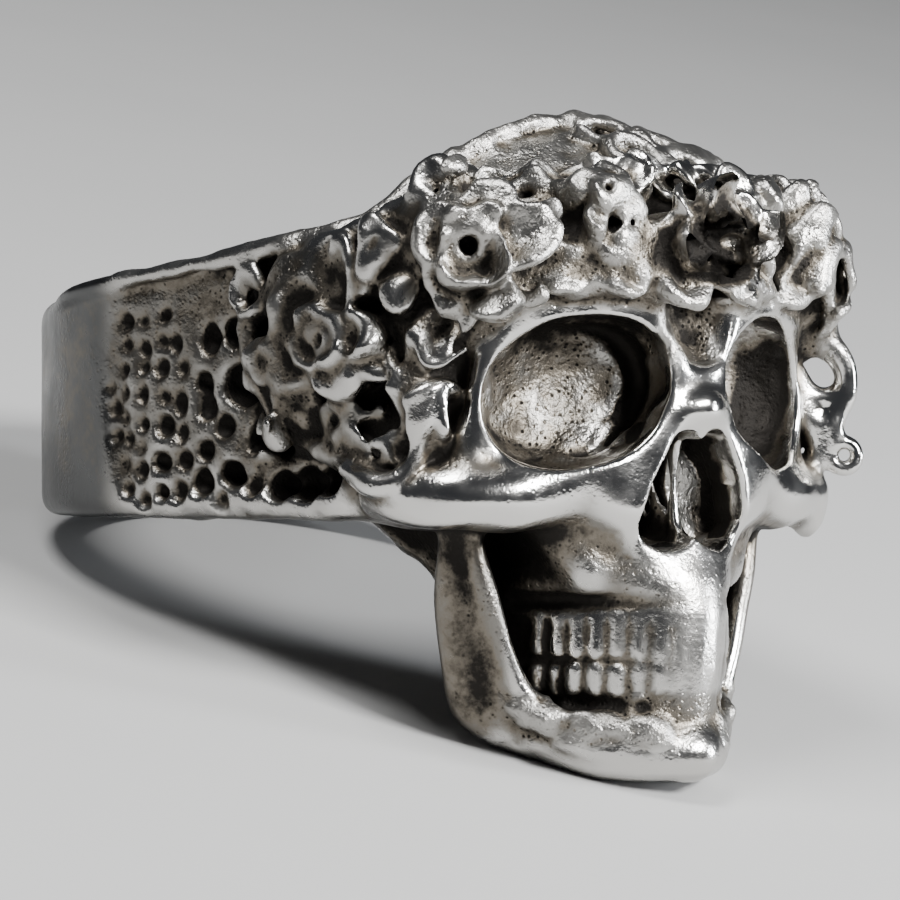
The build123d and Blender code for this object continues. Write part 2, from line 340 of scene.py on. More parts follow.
jaw_front = [
    (7.3, 16.3, -3.6), (6.95, 16.5, -5.6), (6.42, 16.7, -7.4), (5.82, 16.9, -9.2), (5.2, 17.1, -10.6),
    (4.5, 17.6, -11.9),
]
jaw_back = [
    (7.35, 16.0, -3.8), (7.15, 15.5, -5.6), (7.0, 15.1, -7.6), (6.6, 15.1, -9.6), (5.9, 15.2, -11.0),
    (5.0, 15.5, -11.9),
]
hollow_back = [
    (4.2, 13.2, -3.6), (4.1, 13.2, -5.6), (4.0, 13.2, -7.4), (3.9, 13.4, -9.2), (3.8, 13.8, -10.8),
    (3.4, 14.4, -12.0),
]
jaw_bar = [
    (6.3, 15.8, -6.6, 0.2), (6.4, 15.5, -8.2, 0.42), (6.2, 15.2, -9.6, 0.7), (5.5, 15.0, -11.1, 1.0),
    (4.4, 15.7, -11.85, 1.1), (3.3, 17.1, -12.4, 1.08), (2.3, 18.6, -12.9, 1.02), (1.2, 20.0, -13.0, 1.0),
    (0, 20.6, -13.0, 1.0),
]
for edges, radius, width in (((jaw_front, jaw_back), 0.36, 0.35), ((jaw_back, hollow_back), 0.5, 0.5)):
    form, low, high = sheet_between(*edges, radius)
    wax.both(wax.build, form, low, high, width)
bar(on_both_sides(wax.build), jaw_bar, 0.5)
jaw_edge = [(x, f + 0.05, z, 0.38) for x, f, z in jaw_front]
jaw_edge += [(3.7, 18.5, -12.55, 0.36), (2.5, 19.75, -12.85, 0.34), (1.2, 20.75, -13.0, 0.34)]
ledge_bar = [
    (5.1, 16.2, -11.1, 0.7), (4.1, 17.2, -11.55, 0.85), (3.0, 18.7, -11.9, 0.85), (1.7, 20.2, -12.1, 0.7),
]
bar(on_both_sides(wax.build), ledge_bar, 0.5)
bar(on_both_sides(wax.build), jaw_edge, 0.25)
print("jaw's lowest point, mm:", min(z - r for _, _, z, r in jaw_bar))

# %% [markdown]
# A cheekbone is a heavy polished bar that starts below the eye socket, bulges at its corner and runs back
# to the band. A second bar climbs beside the socket, and a third runs down beside the nose. All are melted
# on widely, because the real ones flow into the face. On the ring's far side the cheek's corner hangs a
# little lower.

# %% The cheekbones
beside_nose_bar = [(5.3, 17.9, -3.6, 0.7), (4.4, 18.1, -4.8, 0.7), (3.6, 18.8, -6.2, 0.6)]
cheek_bar = [
    (3.4, 19.2, -2.7, 0.4), (4.6, 19.0, -2.95, 0.55), (5.9, 18.7, -3.25, 0.85), (7.3, 18.2, -3.45, 1.1),
    (8.75, 17.1, -3.5, 1.2), (9.3, 15.5, -3.45, 1.1), (9.45, 14.0, -3.5, 0.7),
]
beside_socket_bar = [
    (8.0, 17.3, -3.0, 1.0), (8.05, 17.6, -1.6, 0.6), (7.95, 17.8, 0.2, 0.48), (7.6, 17.8, 2.0, 0.5),
]
far_corner = [(9.2, 17.5, -3.5, 0.9), (9.55, 17.4, -4.3, 0.65), (9.6, 17.2, -4.8, 0.45)]
for points, width in ((beside_nose_bar, 1.0), (cheek_bar, 0.7), (beside_socket_bar, 0.5)):
    bar(on_both_sides(wax.build), points, width)
bar(wax.build, far_corner, 0.5)
print("wax so far, mm3:", wax.volume())

# %% [markdown]
# Each eye socket is a bowl pressed in with a ball tool, with a raised rim left round it. The rim goes on
# first, as a bar along the bowl's edge, and then the bowl takes its inner half away. Along the nose the
# bowl's floor ends in a small step, and a black groove lies between the step and the rim. Between the brows
# and at the temples the bone has shallow dents.

# %% The eye sockets
socket = np.array((4.5, 19.15, 0.36))
rim_wide, rim_high, bowl_wide, bowl_high, bowl_deep = 3.78, 3.14, 3.62, 2.97, 2.3
socket_turn, socket_lean = 20.5, 0.17
turn_c, turn_s = np.cos(np.radians(socket_turn)), np.sin(np.radians(socket_turn))


def on_socket(angle, wide, high, out=0.0):
    """A point on an ellipse round the socket's middle, in its own turned plane."""
    v = high * np.sin(angle)
    u = wide * np.cos(angle) - socket_lean * v
    return socket[0] + turn_c * u + turn_s * out, socket[1] - turn_s * u + turn_c * out, socket[2] + v


def bowl(x, f, z):
    off_x, off_f, v = x - socket[0], f - socket[1], z - socket[2]
    u, out = turn_c * off_x - turn_s * off_f, turn_s * off_x + turn_c * off_f - 0.25
    u = (u + socket_lean * v) / bowl_wide
    return (np.sqrt(u * u + (v / bowl_high) ** 2 + (out / bowl_deep) ** 2) - 1) * 2.7


brow_dent = egg((0, 22.0, 3.3), (1.7, 1.9, 2.2))
temple_dent = egg((9.1, 17.3, 1.6), (1.0, 1.6, 2.6))
rim = [(*on_socket(a, rim_wide, rim_high, 0.12), 0.3) for a in np.linspace(0, 2 * np.pi, 17)]
groove, step = [], []
for a in np.linspace(1.8, 4.4, 9):
    groove.append((*on_socket(a, 3.0, 2.4, -1.2), 0.1 + 0.36 * np.cos(0.9 * (a - 3.1))))
for a in np.linspace(2.2, 4.1, 9):
    step.append((*on_socket(a, 2.3, 2.05 + 0.15 * np.sin(5 * a), -1.62), 0.15))
wax.carve(brow_dent, (-3.4, 19, 0), (3.4, 23, 6.4), 0.4)
wax.both(wax.carve, temple_dent, (7.4, 15, -1.6), (10.4, 19.5, 4.8), 0.4)
bar(on_both_sides(wax.build), rim, 0.35)
wax.both(wax.carve, bowl, (0.2, 14, -3.8), (9.2, 22.2, 4.6), 0.22)
bar(on_both_sides(wax.carve), groove, 0.3)
bar(on_both_sides(wax.build), step, 0.2)
print("wax so far, mm3:", wax.volume())

# %% [markdown]
# The nose is a polished bridge over a pear-shaped opening. The opening has a thin raised rim, steep walls
# and a flat floor, and a partition halves it. Each half has a deep slot beside the partition, because the
# blackened depth is what shows first on the real ring.

# %% The nose
bridge = [(0, 19.5, 1.6, 0.5), (0, 20.0, 0.9, 0.55), (0, 20.2, 0.3, 0.6)]
nose_roof = [
    (-1.55, 20.3, -1.5, 0.38), (-1.2, 20.65, -0.6, 0.58), (0, 21.1, -0.2, 0.78), (1.2, 20.65, -0.6, 0.58),
    (1.55, 20.3, -1.5, 0.38),
]
nose_rim = [
    (1.3, 20.5, -0.95, 0.3), (1.75, 20.35, -1.6, 0.27), (2.2, 20.2, -2.4, 0.26), (2.5, 20.1, -3.2, 0.26),
    (2.7, 20.0, -4.0, 0.27), (2.75, 19.95, -4.6, 0.28), (2.5, 20.05, -5.2, 0.28), (1.9, 20.3, -5.7, 0.28),
    (1.2, 20.5, -5.75, 0.26), (0.6, 20.4, -5.4, 0.23), (0.15, 20.1, -5.0, 0.22),
]
bar(wax.build, bridge, 0.7)
bar(wax.build, nose_roof, 0.35)
bar(on_both_sides(wax.build), nose_rim, 0.35)


def slot(start, stop, depths):
    """The same bar, from and to a row of x, z and radius, repeated at several depths."""
    return all_of([capsule((start[0], f, *start[1:]), (stop[0], f, *stop[1:])) for f in depths])


def opening(x, f, z):
    """Half of the nose's opening: a flat-bottomed hollow with steep walls."""
    edge = np.interp(z, (-5.5, -5.1, -4.4, -3.0, -1.4, -0.9), (1.5, 2.2, 2.6, 2.3, 1.4, 1.0))
    floor = 18.75 + 0.12 * np.sin(3 * z + 2 * x)
    return keep(0.35, (x - edge) * 0.95, 0.1 - x, z + 1.05, -5.5 - 0.25 * (x - 1.2) - z, floor - f)


nostril = slot((0.36, -1.6, 0.2), (0.5, -4.9, 0.3), np.arange(17.6, 19.4, 0.3))
before_partition = slot((0, -1.9, 0.5), (0, -4.3, 0.6), np.arange(20.5, 22.7, 0.4))
partition = [
    (0, 20.6, -5.9, 0.5), (0, 20.2, -5.2, 0.32), (0, 19.9, -4.6, 0.23), (0, 19.75, -3.0, 0.2),
    (0, 19.85, -1.4, 0.2),
]
wax.both(wax.carve, nostril, (-0.2, 17, -6.2), (2.6, 20, -0.8), 0.1)
wax.both(wax.carve, opening, (-1.2, 18, -6.2), (3.2, 23, -0.6), 0.12)
wax.carve(before_partition, (-1.2, 19.3, -5.4), (1.2, 23, -0.8), 0.15)
bar(wax.build, partition, 0.2)
print("wax so far, mm3:", wax.volume())

# %% [markdown]
# The teeth are two rows of small pegs round the front of the muzzle. The wax between and above them is
# carved away first, so each tooth stands out of a dark groove. They were cut by hand, so widths and tips
# vary a little.

# %% The teeth
hand = np.random.default_rng(7)
mouth_curve, mouth_slope = 0.295, 0.6
teeth_in_row, top_groove, bottom_groove, bite = 18, -7.4, -10.95, -9.53


def on_muzzle(x, z, out=0.0):
    """A point on the muzzle's front, given across and up, moved out by a little."""
    forward = np.interp(z, muzzle_heights, muzzle_reaches) - mouth_curve * x * x
    steep = np.hypot(1, mouth_slope * x)
    return x + out * mouth_slope * x / steep, forward + out / steep, z


def fade(x):
    """The front teeth were polished almost away: 0 at the front, 1 beside it."""
    return float(np.interp(abs(x), (1.2, 2.5), (0.08, 1.0)))


across_mouth = np.linspace(-4.5, 4.5, 91)
along_mouth = np.cumsum(np.hypot(1, mouth_slope * across_mouth)) * 0.1
for edge_z, deep in ((top_groove, 0.24), (bottom_groove, 0.3)):
    rows = [(*on_muzzle(x, edge_z, 0.2), 0.05 + deep * fade(x)) for x in np.linspace(-4.4, 4.4, 19)]
    bar(wax.carve, rows, 0.4)
for root, tip in ((-8.05, -9.35), (-10.6, -9.75)):
    marks = np.linspace(along_mouth[3], along_mouth[-4], teeth_in_row + 1)
    marks[1:-1] += hand.normal(0, 0.05, teeth_in_row - 1)
    edges = np.interp(marks, along_mouth, across_mouth)
    for left, right, gap in zip(edges, edges[1:], np.diff(marks)):
        middle = (left + right) / 2
        sunk = 0.3 * (1 - fade(middle))
        foot = (*on_muzzle(middle, root, -0.14 - sunk), 0.42 * gap)
        end = (*on_muzzle(middle, tip + hand.normal(0, 0.1), hand.normal(0, 0.04) - 0.04 - sunk), 0.47 * gap)
        low = np.minimum(foot[:3], end[:3]) - 1
        wax.build(capsule(foot, end), low, np.maximum(foot[:3], end[:3]) + 1, 0.12)
    for edge in edges[1:-1]:
        thin = 0.03 + 0.07 * fade(edge) + hand.normal(0, 0.012)
        foot, end = (*on_muzzle(edge, root, 0.1), thin), (*on_muzzle(edge, tip, 0.12), thin + 0.03)
        low = np.minimum(foot[:3], end[:3]) - 0.6
        wax.carve(capsule(foot, end), low, np.maximum(foot[:3], end[:3]) + 0.6, 0.12)
rows = [(*on_muzzle(x, bite, 0.1), 0.05 + 0.15 * fade(x)) for x in np.linspace(-4.2, 4.2, 19)]
bar(wax.carve, rows, 0.12)
print("teeth:", 2 * teeth_in_row)

# %% [markdown]
# The crown gets its rim: a thin bright bar that follows the band's upper edge and arches over the top of
# the head. Then the finger hole is cut through everything.

# %% The crown's rim and the finger hole
crown_rim = [
    (11.2, -2.0, 4.35), (11.25, 2.6, 4.95), (10.75, 6.5, 5.45), (10.15, 9.6, 6.0), (9.3, 11.5, 6.45),
    (8.2, 12.6, 7.1), (6.6, 13.2, 8.3), (4.5, 13.8, 9.7), (2.2, 14.2, 10.55), (0, 14.3, 10.8),
]
crown_bar = [(10.3, -4.6, 3.6, 0.2)] + [(x, f, z - 0.15, 0.4) for x, f, z in crown_rim]
bar(on_both_sides(wax.build), crown_bar, 0.2)
wax.carve(bore, (-10.5, -10.5, -16), (10.5, 10.5, 13), 0.15)
print("wax so far, mm3:", wax.volume())

# %% [markdown]
# A caster's wax is never quite even. Smooth random heights, made from a loose lattice of random numbers,
# give every hand-made unevenness below: the lace of the wreath, ragged pits and the coarse skin of the
# casting. The lattice always starts from the same seed, so the ring comes out the same each time.

# %% Unevenness
lattices = {}


def ripple(spots, size, seed):
    """Smooth random heights of about one, over a window of the block, with bumps of the size given in mm."""
    if (size, seed) not in lattices:
        counts = [int((high - low) / size) + 6 for low, high in zip(block_low, block_high)]
        lattices[size, seed] = np.random.default_rng(seed).normal(0, 3, counts).astype(np.float32)
    values = lattices[size, seed]
    for axis, (spot, low) in enumerate(zip(spots, block_low)):
        u = (spot.ravel() - low) / size + 1
        base = np.floor(u).astype(int)
        t = u - base
        weights = ((1 - t) ** 3, 3 * t**3 - 6 * t**2 + 4, -3 * t**3 + 3 * t**2 + 3 * t + 1, t**3)
        table = np.zeros((len(u), values.shape[axis]), np.float32)
        for step, weight in enumerate(weights):
            table[np.arange(len(u)), base + step - 1] = weight / 6
        values = np.moveaxis(np.tensordot(table, values, (1, axis)), 0, axis)
    return values


def step_up(value, start, stop):
    """Rises smoothly from 0 to 1 between two values."""
    share = np.clip((value - start) / (stop - start), 0, 1)
    return share * share * (3 - 2 * share)


print("an even window's spread:", ripple([axis[:40] for axis in wax.axes], 1.0, 1).std().round(2))

# %% [markdown]
# The shoulders are covered with round pits in staggered columns, small at the back and larger forward, with
# a few large deep holes beside the wreath. The field of pits lies a little lower than the plain back, with
# a curved border. Below the bright upper rim runs a groove. Each pit is pressed in with its own small egg.

# %% The pits on the shoulders
border_curve, field_depth = 0.075, 0.14
wall_lean = np.arcsin((band_radius - temple_radius) / head_forward)


def on_wall(f, z, out=0.0):
    """A point on the shoulder's wall, moved out by a little."""
    if f < band_radius * np.sin(wall_lean):
        turn = np.arcsin(f / band_radius)
        return (band_radius + out) * np.cos(turn), (band_radius + out) * np.sin(turn), z
    across = (band_radius - f * np.sin(wall_lean)) / np.cos(wall_lean)
    return across + out * np.cos(wall_lean), f + out * np.sin(wall_lean), z


def pit_field(x, f, z):
    border = f - 0.1 - border_curve * (z - 0.2) ** 2
    return keep(0.25, -band_outline(x, f) - field_depth, -border, np.abs(z - 0.35 - 0.05 * f) - 3.95)


wax.both(wax.carve, pit_field, (8, -1, -4.6), (12.2, 13, 6), 0.12)
groove_spots = ((1.5, 4.15), (4, 4.5), (7, 4.85), (9.5, 5.2), (11.5, 5.6))
groove_line = [(*on_wall(f, z, 0.1), 0.3) for f, z in groove_spots]
bar(on_both_sides(wax.carve), groove_line, 0.15)
luck = np.random.default_rng(11)
last_column, lowest_row, rows_in_column = 8.6, -3.75, 14
pit_total = 0
forward, column = 0.55, 0
big_pits = (
    (7.0, 0.6, 0.95), (8.1, -1.4, 0.85), (8.8, -3.15, 0.6), (10.1, -3.05, 0.75), (6.5, -2.7, 0.6),
    (11.3, -2.95, 0.6), (6.6, 2.6, 0.6),
)
while forward < last_column:
    pit_width = 0.66 + 0.36 * step_up(forward, 0.5, 6)
    pace = pit_width * 1.34
    for row in range(rows_in_column):
        height = lowest_row + pace * (row + 0.5 * (column % 2)) + luck.normal(0, 0.1 * pace)
        spot_f = forward + luck.normal(0, 0.1 * pace)
        size = pit_width * luck.uniform(0.75, 1.15) / 2
        too_near = min(np.hypot(spot_f - f, height - z) - r for f, z, r in big_pits) < size + 0.08
        past_border = spot_f - size < 0.1 + border_curve * height**2
        if height > 3.5 + 0.13 * spot_f - size or past_border or too_near:
            continue
        for mirror in (-1, 1):
            center = np.array(on_wall(spot_f, height, 0.05 - field_depth)) * (mirror, 1, 1)
            radii = [size * luck.uniform(*span) for span in ((1.0, 1.5), (0.9, 1.1), (0.9, 1.2))]
            wax.carve(egg(center, radii), center - 2.2, center + 2.2, 0.18)
            pit_total += 1
    forward += pace * 0.9
    column += 1
for spot_f, height, size in big_pits:
    for mirror in (-1, 1):
        center = np.array(on_wall(spot_f, height, 0.1)) * (mirror, 1, 1)
        wax.carve(egg(center, (1.5, size, size * 0.92)), center - 2.2, center + 2.2, 0.15)
print("pits:", pit_total)

# %% [markdown]
# The wreath lies on the cranium, so its pieces are placed by how far round from the forehead and how far up
# they are, in degrees. Each is shaped in a flat frame, its seat, which touches the head there. The seat is
# found by following a line out from the head's middle until it leaves the wax.

# %% Seats on the head


def sample(block, spots, scale=1.0, shift=0.0):
    """Reads a block between its points, at spots given in steps of the wax grid."""
    at = np.clip(spots * scale + shift, 0, np.array(block.shape) - 1.001)
    base = at.astype(int)
    part = at - base
    total = 0
    for i in (0, 1):
        for j in (0, 1):
            for k in (0, 1):
                weight = np.abs(1 - i - part[:, 0]) * np.abs(1 - j - part[:, 1]) * np.abs(1 - k - part[:, 2])
                total = total + weight * block[base[:, 0] + i, base[:, 1] + j, base[:, 2] + k]
    return total


bare_head = wax.depth.copy()
grid_start = np.array([axis[0] for axis in wax.axes])


class Seat:
    """A flat frame that touches the bare head: sideways, upwards and outwards."""

    def __init__(self, azimuth, elevation, lift=0.0, turn=0.0, lean=(0.0, 0.0)):
        a, e, t = np.radians((azimuth, elevation, turn))
        out = np.array((np.sin(a) * np.cos(e), np.cos(a) * np.cos(e), np.sin(e)))
        middle = np.array((0, head_forward, head_lift))
        reaches = np.arange(6.0, 13.0, 0.05)
        depths = sample(bare_head, (middle + reaches[:, None] * out - grid_start) / pitch)
        self.place = middle + out * (reaches[depths < 0].max(initial=7.0) + lift)
        side = np.array((np.cos(a), -np.sin(a), 0))
        up = np.cross(out, side) * np.sign(np.cross(out, side)[2] + 1e-9)
        side, up = side * np.cos(t) + up * np.sin(t), up * np.cos(t) - side * np.sin(t)
        out = out + lean[0] * side + lean[1] * up
        out /= np.linalg.norm(out)
        side -= out * (side @ out)
        side /= np.linalg.norm(side)
        self.frame = np.array((side, np.cross(out, side) * np.sign(np.cross(out, side) @ up), out))

    def local(self, x, f, z):
        x, f, z = x - self.place[0], f - self.place[1], z - self.place[2]
        return [row[0] * x + row[1] * f + row[2] * z for row in self.frame]

    def spot(self, a, b, c):
        return self.place + np.array((a, b, c)) @ self.frame

    def window(self, reach, a=0.0, b=0.0, c=0.0):
        middle = self.spot(a, b, c)
        return middle - reach, middle + reach


print("cranium's seat at the forehead:", Seat(0, 10).place.round(2))

# %% [markdown]
# Each petal is a curved sheet with a thick rolled edge, which leaves dark hollows between the petals. A
# leaf is folded along its rib.

# %% Petals and leaves


def petal(seat, angle, start, long, wide, rise, cup, roll, thick):
    """One petal: it starts near the middle, rises outwards, is cupped across and rolls over at its end."""
    c, s = np.cos(angle), np.sin(angle)
    middle = start + long / 2

    def form(x, f, z):
        a, b, h = seat.local(x, f, z)
        along, across = c * a + s * b - middle, c * b - s * a
        u, v = along / (long / 2), across / (wide / 2)
        edge = np.sqrt(u * u + v * v)
        sheet = 0.25 + rise * (along + long / 2) + cup * across**2 - roll * np.clip(u, 0, 1.3) ** 3
        half = thick * (0.75 + 0.6 * np.clip(edge, 0, 1) ** 3)
        flat = np.abs(h - sheet) / np.sqrt(1 + rise**2 + (2 * cup * across) ** 2) - half
        return keep(0.18, flat, (edge - 1) * min(long, wide) / 2)

    low, high = seat.window(long * 0.9 + 0.6, c * middle, s * middle, 0.5)
    wax.build(form, low, high, 0.22)


def leaf(seat, long, wide, fold):
    """A pointed leaf, folded along its rib, with a few soft teeth on its edge."""
    arch, lift, thick = 0.13, 0.45, 0.27

    def form(x, f, z):
        a, b, h = seat.local(x, f, z)
        u = np.clip(a / (long / 2), -1.4, 1.4)
        half_width = wide / 2 * (1 - u * u) * (1 + 0.25 * u) + 0.05 * np.sin(11 * u)
        sheet = lift - arch * a * a + fold * np.abs(b) - 0.28 * b * b + 0.12 * np.sin(3 * a)
        rib = 0.12 * np.exp(-((b / 0.14) ** 2))
        flat = np.abs(h - sheet + 0.05) - thick - rib
        return keep(0.15, flat * 0.85, (np.abs(b) - half_width) * 0.8)

    low, high = seat.window(long / 2 + 0.9, 0, 0, 0.3)
    wax.build(form, low, high, 0.22)


print("petals and leaves can be made")

# %% [markdown]
# A tendril is part of a ring that lifts off and comes down again. A blossom has two rounds of petals and an
# eye with a hole, and chance makes each petal a little different. An eyelet is a closed ring.

# %% Tendrils, eyelets and blossoms


def curl(seat, radius, start, sweep, high, thick, rise=0.0):
    """A little tendril: part of a ring that lifts off and comes down again."""
    rows = []
    for t in np.linspace(0, 1, 7):
        a, k = np.radians(start + sweep * t), 1 - 0.35 * t
        lift = 0.1 + high * np.sin(np.pi * t) + rise * t
        at = seat.spot(radius * k * np.cos(a), radius * k * np.sin(a), lift)
        rows.append((*at, thick * (1 - 0.25 * t)))
    bar(wax.build, rows, 0.22, steps=3)


def eyelet(seat, wide, high, lift, radius, width=0.2, steps=5):
    """A closed ring of wax lying on a seat."""
    turns = np.linspace(0, 2 * np.pi, 9)
    rows = [(*seat.spot(wide * np.cos(t), high * np.sin(t), lift), radius) for t in turns]
    bar(wax.build, rows, width, steps)


def blossom(azimuth, elevation, size, seed, petals, thick):
    """Outer petals, smaller and steeper inner ones, and a round eye with a hole."""
    luck = np.random.default_rng(seed)
    seat = Seat(azimuth, elevation, 0.3, luck.uniform(0, 72), luck.normal(0, 0.08, 2))
    outer, inner = (petals, 0.3, 0.66, 0.6, 0.42, 0.2, 0.45), (petals - 1, 0.1, 0.42, 0.46, 1.0, 0.3, 0.16)
    for inward, (count, start, long, wide, rise, cup, roll) in enumerate((outer, inner)):
        for number in range(count):
            angle = 2 * np.pi * (number + 0.5 * inward) / count + luck.normal(0, 0.1)
            grow = size / 2 * luck.uniform(0.88, 1.1)
            rise_here = rise * luck.uniform(0.75, 1.25)
            cup_here = cup * luck.uniform(0.6, 1.3) * 2 / size * 1.6
            roll_here = roll * luck.uniform(0.5, 1.5)
            petal(seat, angle, start * grow, long * 1.45 * grow, wide * 1.55 * grow,
                  rise_here, cup_here, roll_here, thick)
    eyelet(seat, 0.5, 0.42, 0.8 + 0.1 * size, 0.33, steps=3)
    hole, top = seat.spot(0, 0, 0.45), seat.spot(0, 0, 2.4)
    wax.carve(capsule((*hole, 0.2), (*top, 0.26)), hole - 2.6, hole + 2.6, 0.1)


print("pieces of the wreath can be made")

# %% [markdown]
# First comes the ground of the wreath. A mound over each outer brow carries the garland round the corner of
# the head, and the cranium is roughened into a winding lace of low ribs with deep gaps. The garland is a
# strip whose lower and upper edges are given by how far round from the forehead and how far up they lie.

# %% The ground of the wreath
garland_end, mm_per_degree = 115, 0.15


def wreath_share(x, f, z):
    """Tells how deep inside the garland's strip a point is, in mm, less than 0 outside."""
    across, ahead, up = np.abs(x), f - head_forward, z - head_lift
    azimuth = np.degrees(np.arctan2(across, ahead))
    elevation = np.degrees(np.arctan2(up, np.hypot(across, ahead)))
    lower = np.interp(azimuth, (0, 20, 36, 48, 56, 64, 108), (5, 5, 6, 3, -8, -29, -29))
    upper = np.interp(azimuth, (0, 30, 60, 72, 85, 100, 112), (38, 41, 34, 25, 17, 12, 5))
    inside = np.minimum(np.minimum(elevation - lower, upper - elevation), 1.4 * (garland_end - azimuth))
    return inside * mm_per_degree


for side in (-1, 1):
    mound = Seat(54 * side, 12).place
    wax.build(egg(mound, (2.6, 1.4, 3.0), -54 * side), mound - 4, mound + 4, 1.0)
bare_head = wax.depth.copy()
cuts, there = wax.window((-10.8, 7.6, -4.4), (10.8, 21.8, 11.6))
ground = bare_head[cuts]
inside_strip = wreath_share(*there)
filler = Seat(-67, 4, -0.4).place
wax.build(egg(filler, (1.2, 1.3, 2.0)), filler - 3, filler + 3, 0.5)
holes = keep(0.3, 0.55 - ripple(there, 1.1, 24) * 0.6, -ground - 0.75, 0.5 - inside_strip)
wax.depth[cuts] = keep(0.3, wax.depth[cuts], -holes)
ribs = np.minimum(np.abs(ripple(there, 1.25, 21)) * 0.62 - 0.2, np.abs(ripple(there, 0.95, 22)) * 0.5 - 0.02)
rib_height = (0.62 + 0.3 * ripple(there, 1.6, 23)) * step_up(inside_strip, -0.1, 1.4)
ribs = keep(0.3, ribs, ground - rib_height, -inside_strip)
wax.depth[cuts] = melt(wax.depth[cuts], ribs, 0.18)
print("wax so far, mm3:", wax.volume())

# %% [markdown]
# The first pieces of the wreath are its leaves, most of them in pairs on the two sides. They lie a little
# askew, and each gets its own length and fold. The layout is this model's own: a loose garland that is
# thickest at the brow and runs down both temples.

# %% The leaves
leaf_long, leaf_wide, leaf_fold = 3.7, 1.8, 0.5
leaf_pairs = (
    (24, 10, -30), (25, 30, 25), (70, 18, -60), (66, -14, -70), (74, 9, -10), (100, 3, -60), (9, 8, -10),
    (37, 9, 15), (50, 5, -60), (62, -22, -80), (98, -19, -20), (78, -24, 0), (62, -4, -70),
)
leaves = [(side * azimuth, up, side * turn) for azimuth, up, turn in leaf_pairs for side in (-1, 1)]
leaves += [(0, 37, 80), (-42, 33, 10), (40, 31, -25), (-86, 11, 120), (86, 11, 60)]
for azimuth, elevation, turn in leaves:
    luck = np.random.default_rng(abs(azimuth) * 91 + elevation + (azimuth > 0))
    seat = Seat(azimuth, elevation, 0.15, turn + luck.normal(0, 8), luck.normal(0, 0.18, 2))
    long, wide, fold = (luck.uniform(*span) for span in ((0.8, 1.15), (0.85, 1.2), (0.5, 1.4)))
    leaf(seat, leaf_long * long, leaf_wide * wide, leaf_fold * fold)
print("leaves:", len(leaves))

# %% [markdown]
# Four large blossoms sit at the forehead and the temples. Over the far brow lies a knot of stems and buds
# instead, which shows as a rounded outline in the photograph's view. Ten small blossoms go between them.

# %% The blossoms and the knot
large_blossoms = ((1, 18, 4.4, 31), (-51, 10, 4.0, 32), (-84, -4, 4.5, 34), (83, -3, 4.4, 35))
small_blossoms = (
    (-27, 21, 2.7, 41), (26, 22, 2.9, 42), (-70, 12, 2.6, 43), (71, 11, 2.6, 44), (-14, 34, 2.6, 45),
    (15, 33, 2.4, 46), (-100, -8, 2.4, 47), (100, -8, 2.5, 48), (-44, 27, 2.6, 49), (59, 21.5, 2.4, 50),
)
knot_buds = (
    (-1.0, -0.7, 0.3, 0.95), (0.6, -1.1, 0.4, 1.0), (0.2, 1.0, 0.3, 1.05), (1.5, 0.2, 0.3, 0.85),
    (-1.2, 0.7, 0.2, 0.8))
knot_stems = (
    ((-1.9, -1.2, 0.3, 0.3), (-1.0, -0.3, 1.1, 0.32), (0.2, -0.1, 1.5, 0.34), (1.4, 0.9, 1.1, 0.34),
     (1.9, 1.9, 0.4, 0.3)),
    ((-1.5, 1.6, 0.4, 0.3), (-0.5, 0.9, 1.1, 0.3), (0.2, -0.1, 1.5, 0.34), (0.5, -1.2, 1.4, 0.32),
     (0.2, -2.2, 0.6, 0.34)))
for azimuth, elevation, size, seed in large_blossoms:
    blossom(azimuth, elevation, size, seed, petals=5, thick=0.34)
knot = Seat(46, 12, 0.1)
for a, u, h, size in knot_buds:
    at = knot.spot(a, u, h)
    wax.build(egg(at, (size, size, size * 0.9)), at - 1.6, at + 1.6, 0.25)
for stem in knot_stems:
    bar(wax.build, [(*knot.spot(a, u, h), radius) for a, u, h, radius in stem], 0.2)
bud = []
for t in np.linspace(0, 2 * np.pi, 9):
    bud.append((*knot.spot(1.5 + 0.42 * np.cos(t), -0.2 + 0.42 * np.sin(t), 1.0), 0.32))
bar(wax.build, bud, 0.2)
for a, u, size in ((-0.3, 0.3, 0.4), (0.5, -0.5, 0.36), (-0.5, -1.3, 0.36), (1.0, 1.3, 0.3)):
    at = knot.spot(a, u, 0.9)
    wax.carve(egg(at, (size, size, 0.9)), at - 1.4, at + 1.4, 0.2)
for azimuth, elevation, size, seed in small_blossoms:
    blossom(azimuth, elevation, size, seed, petals=4, thick=0.32)
print("wax so far, mm3:", wax.volume())

# %% [markdown]
# Stems border the wreath and cross it. Beside the far socket thick stems and a small loop stand free of the
# head, and their outline shows against the background. These are placed in the carving frame, not on seats.

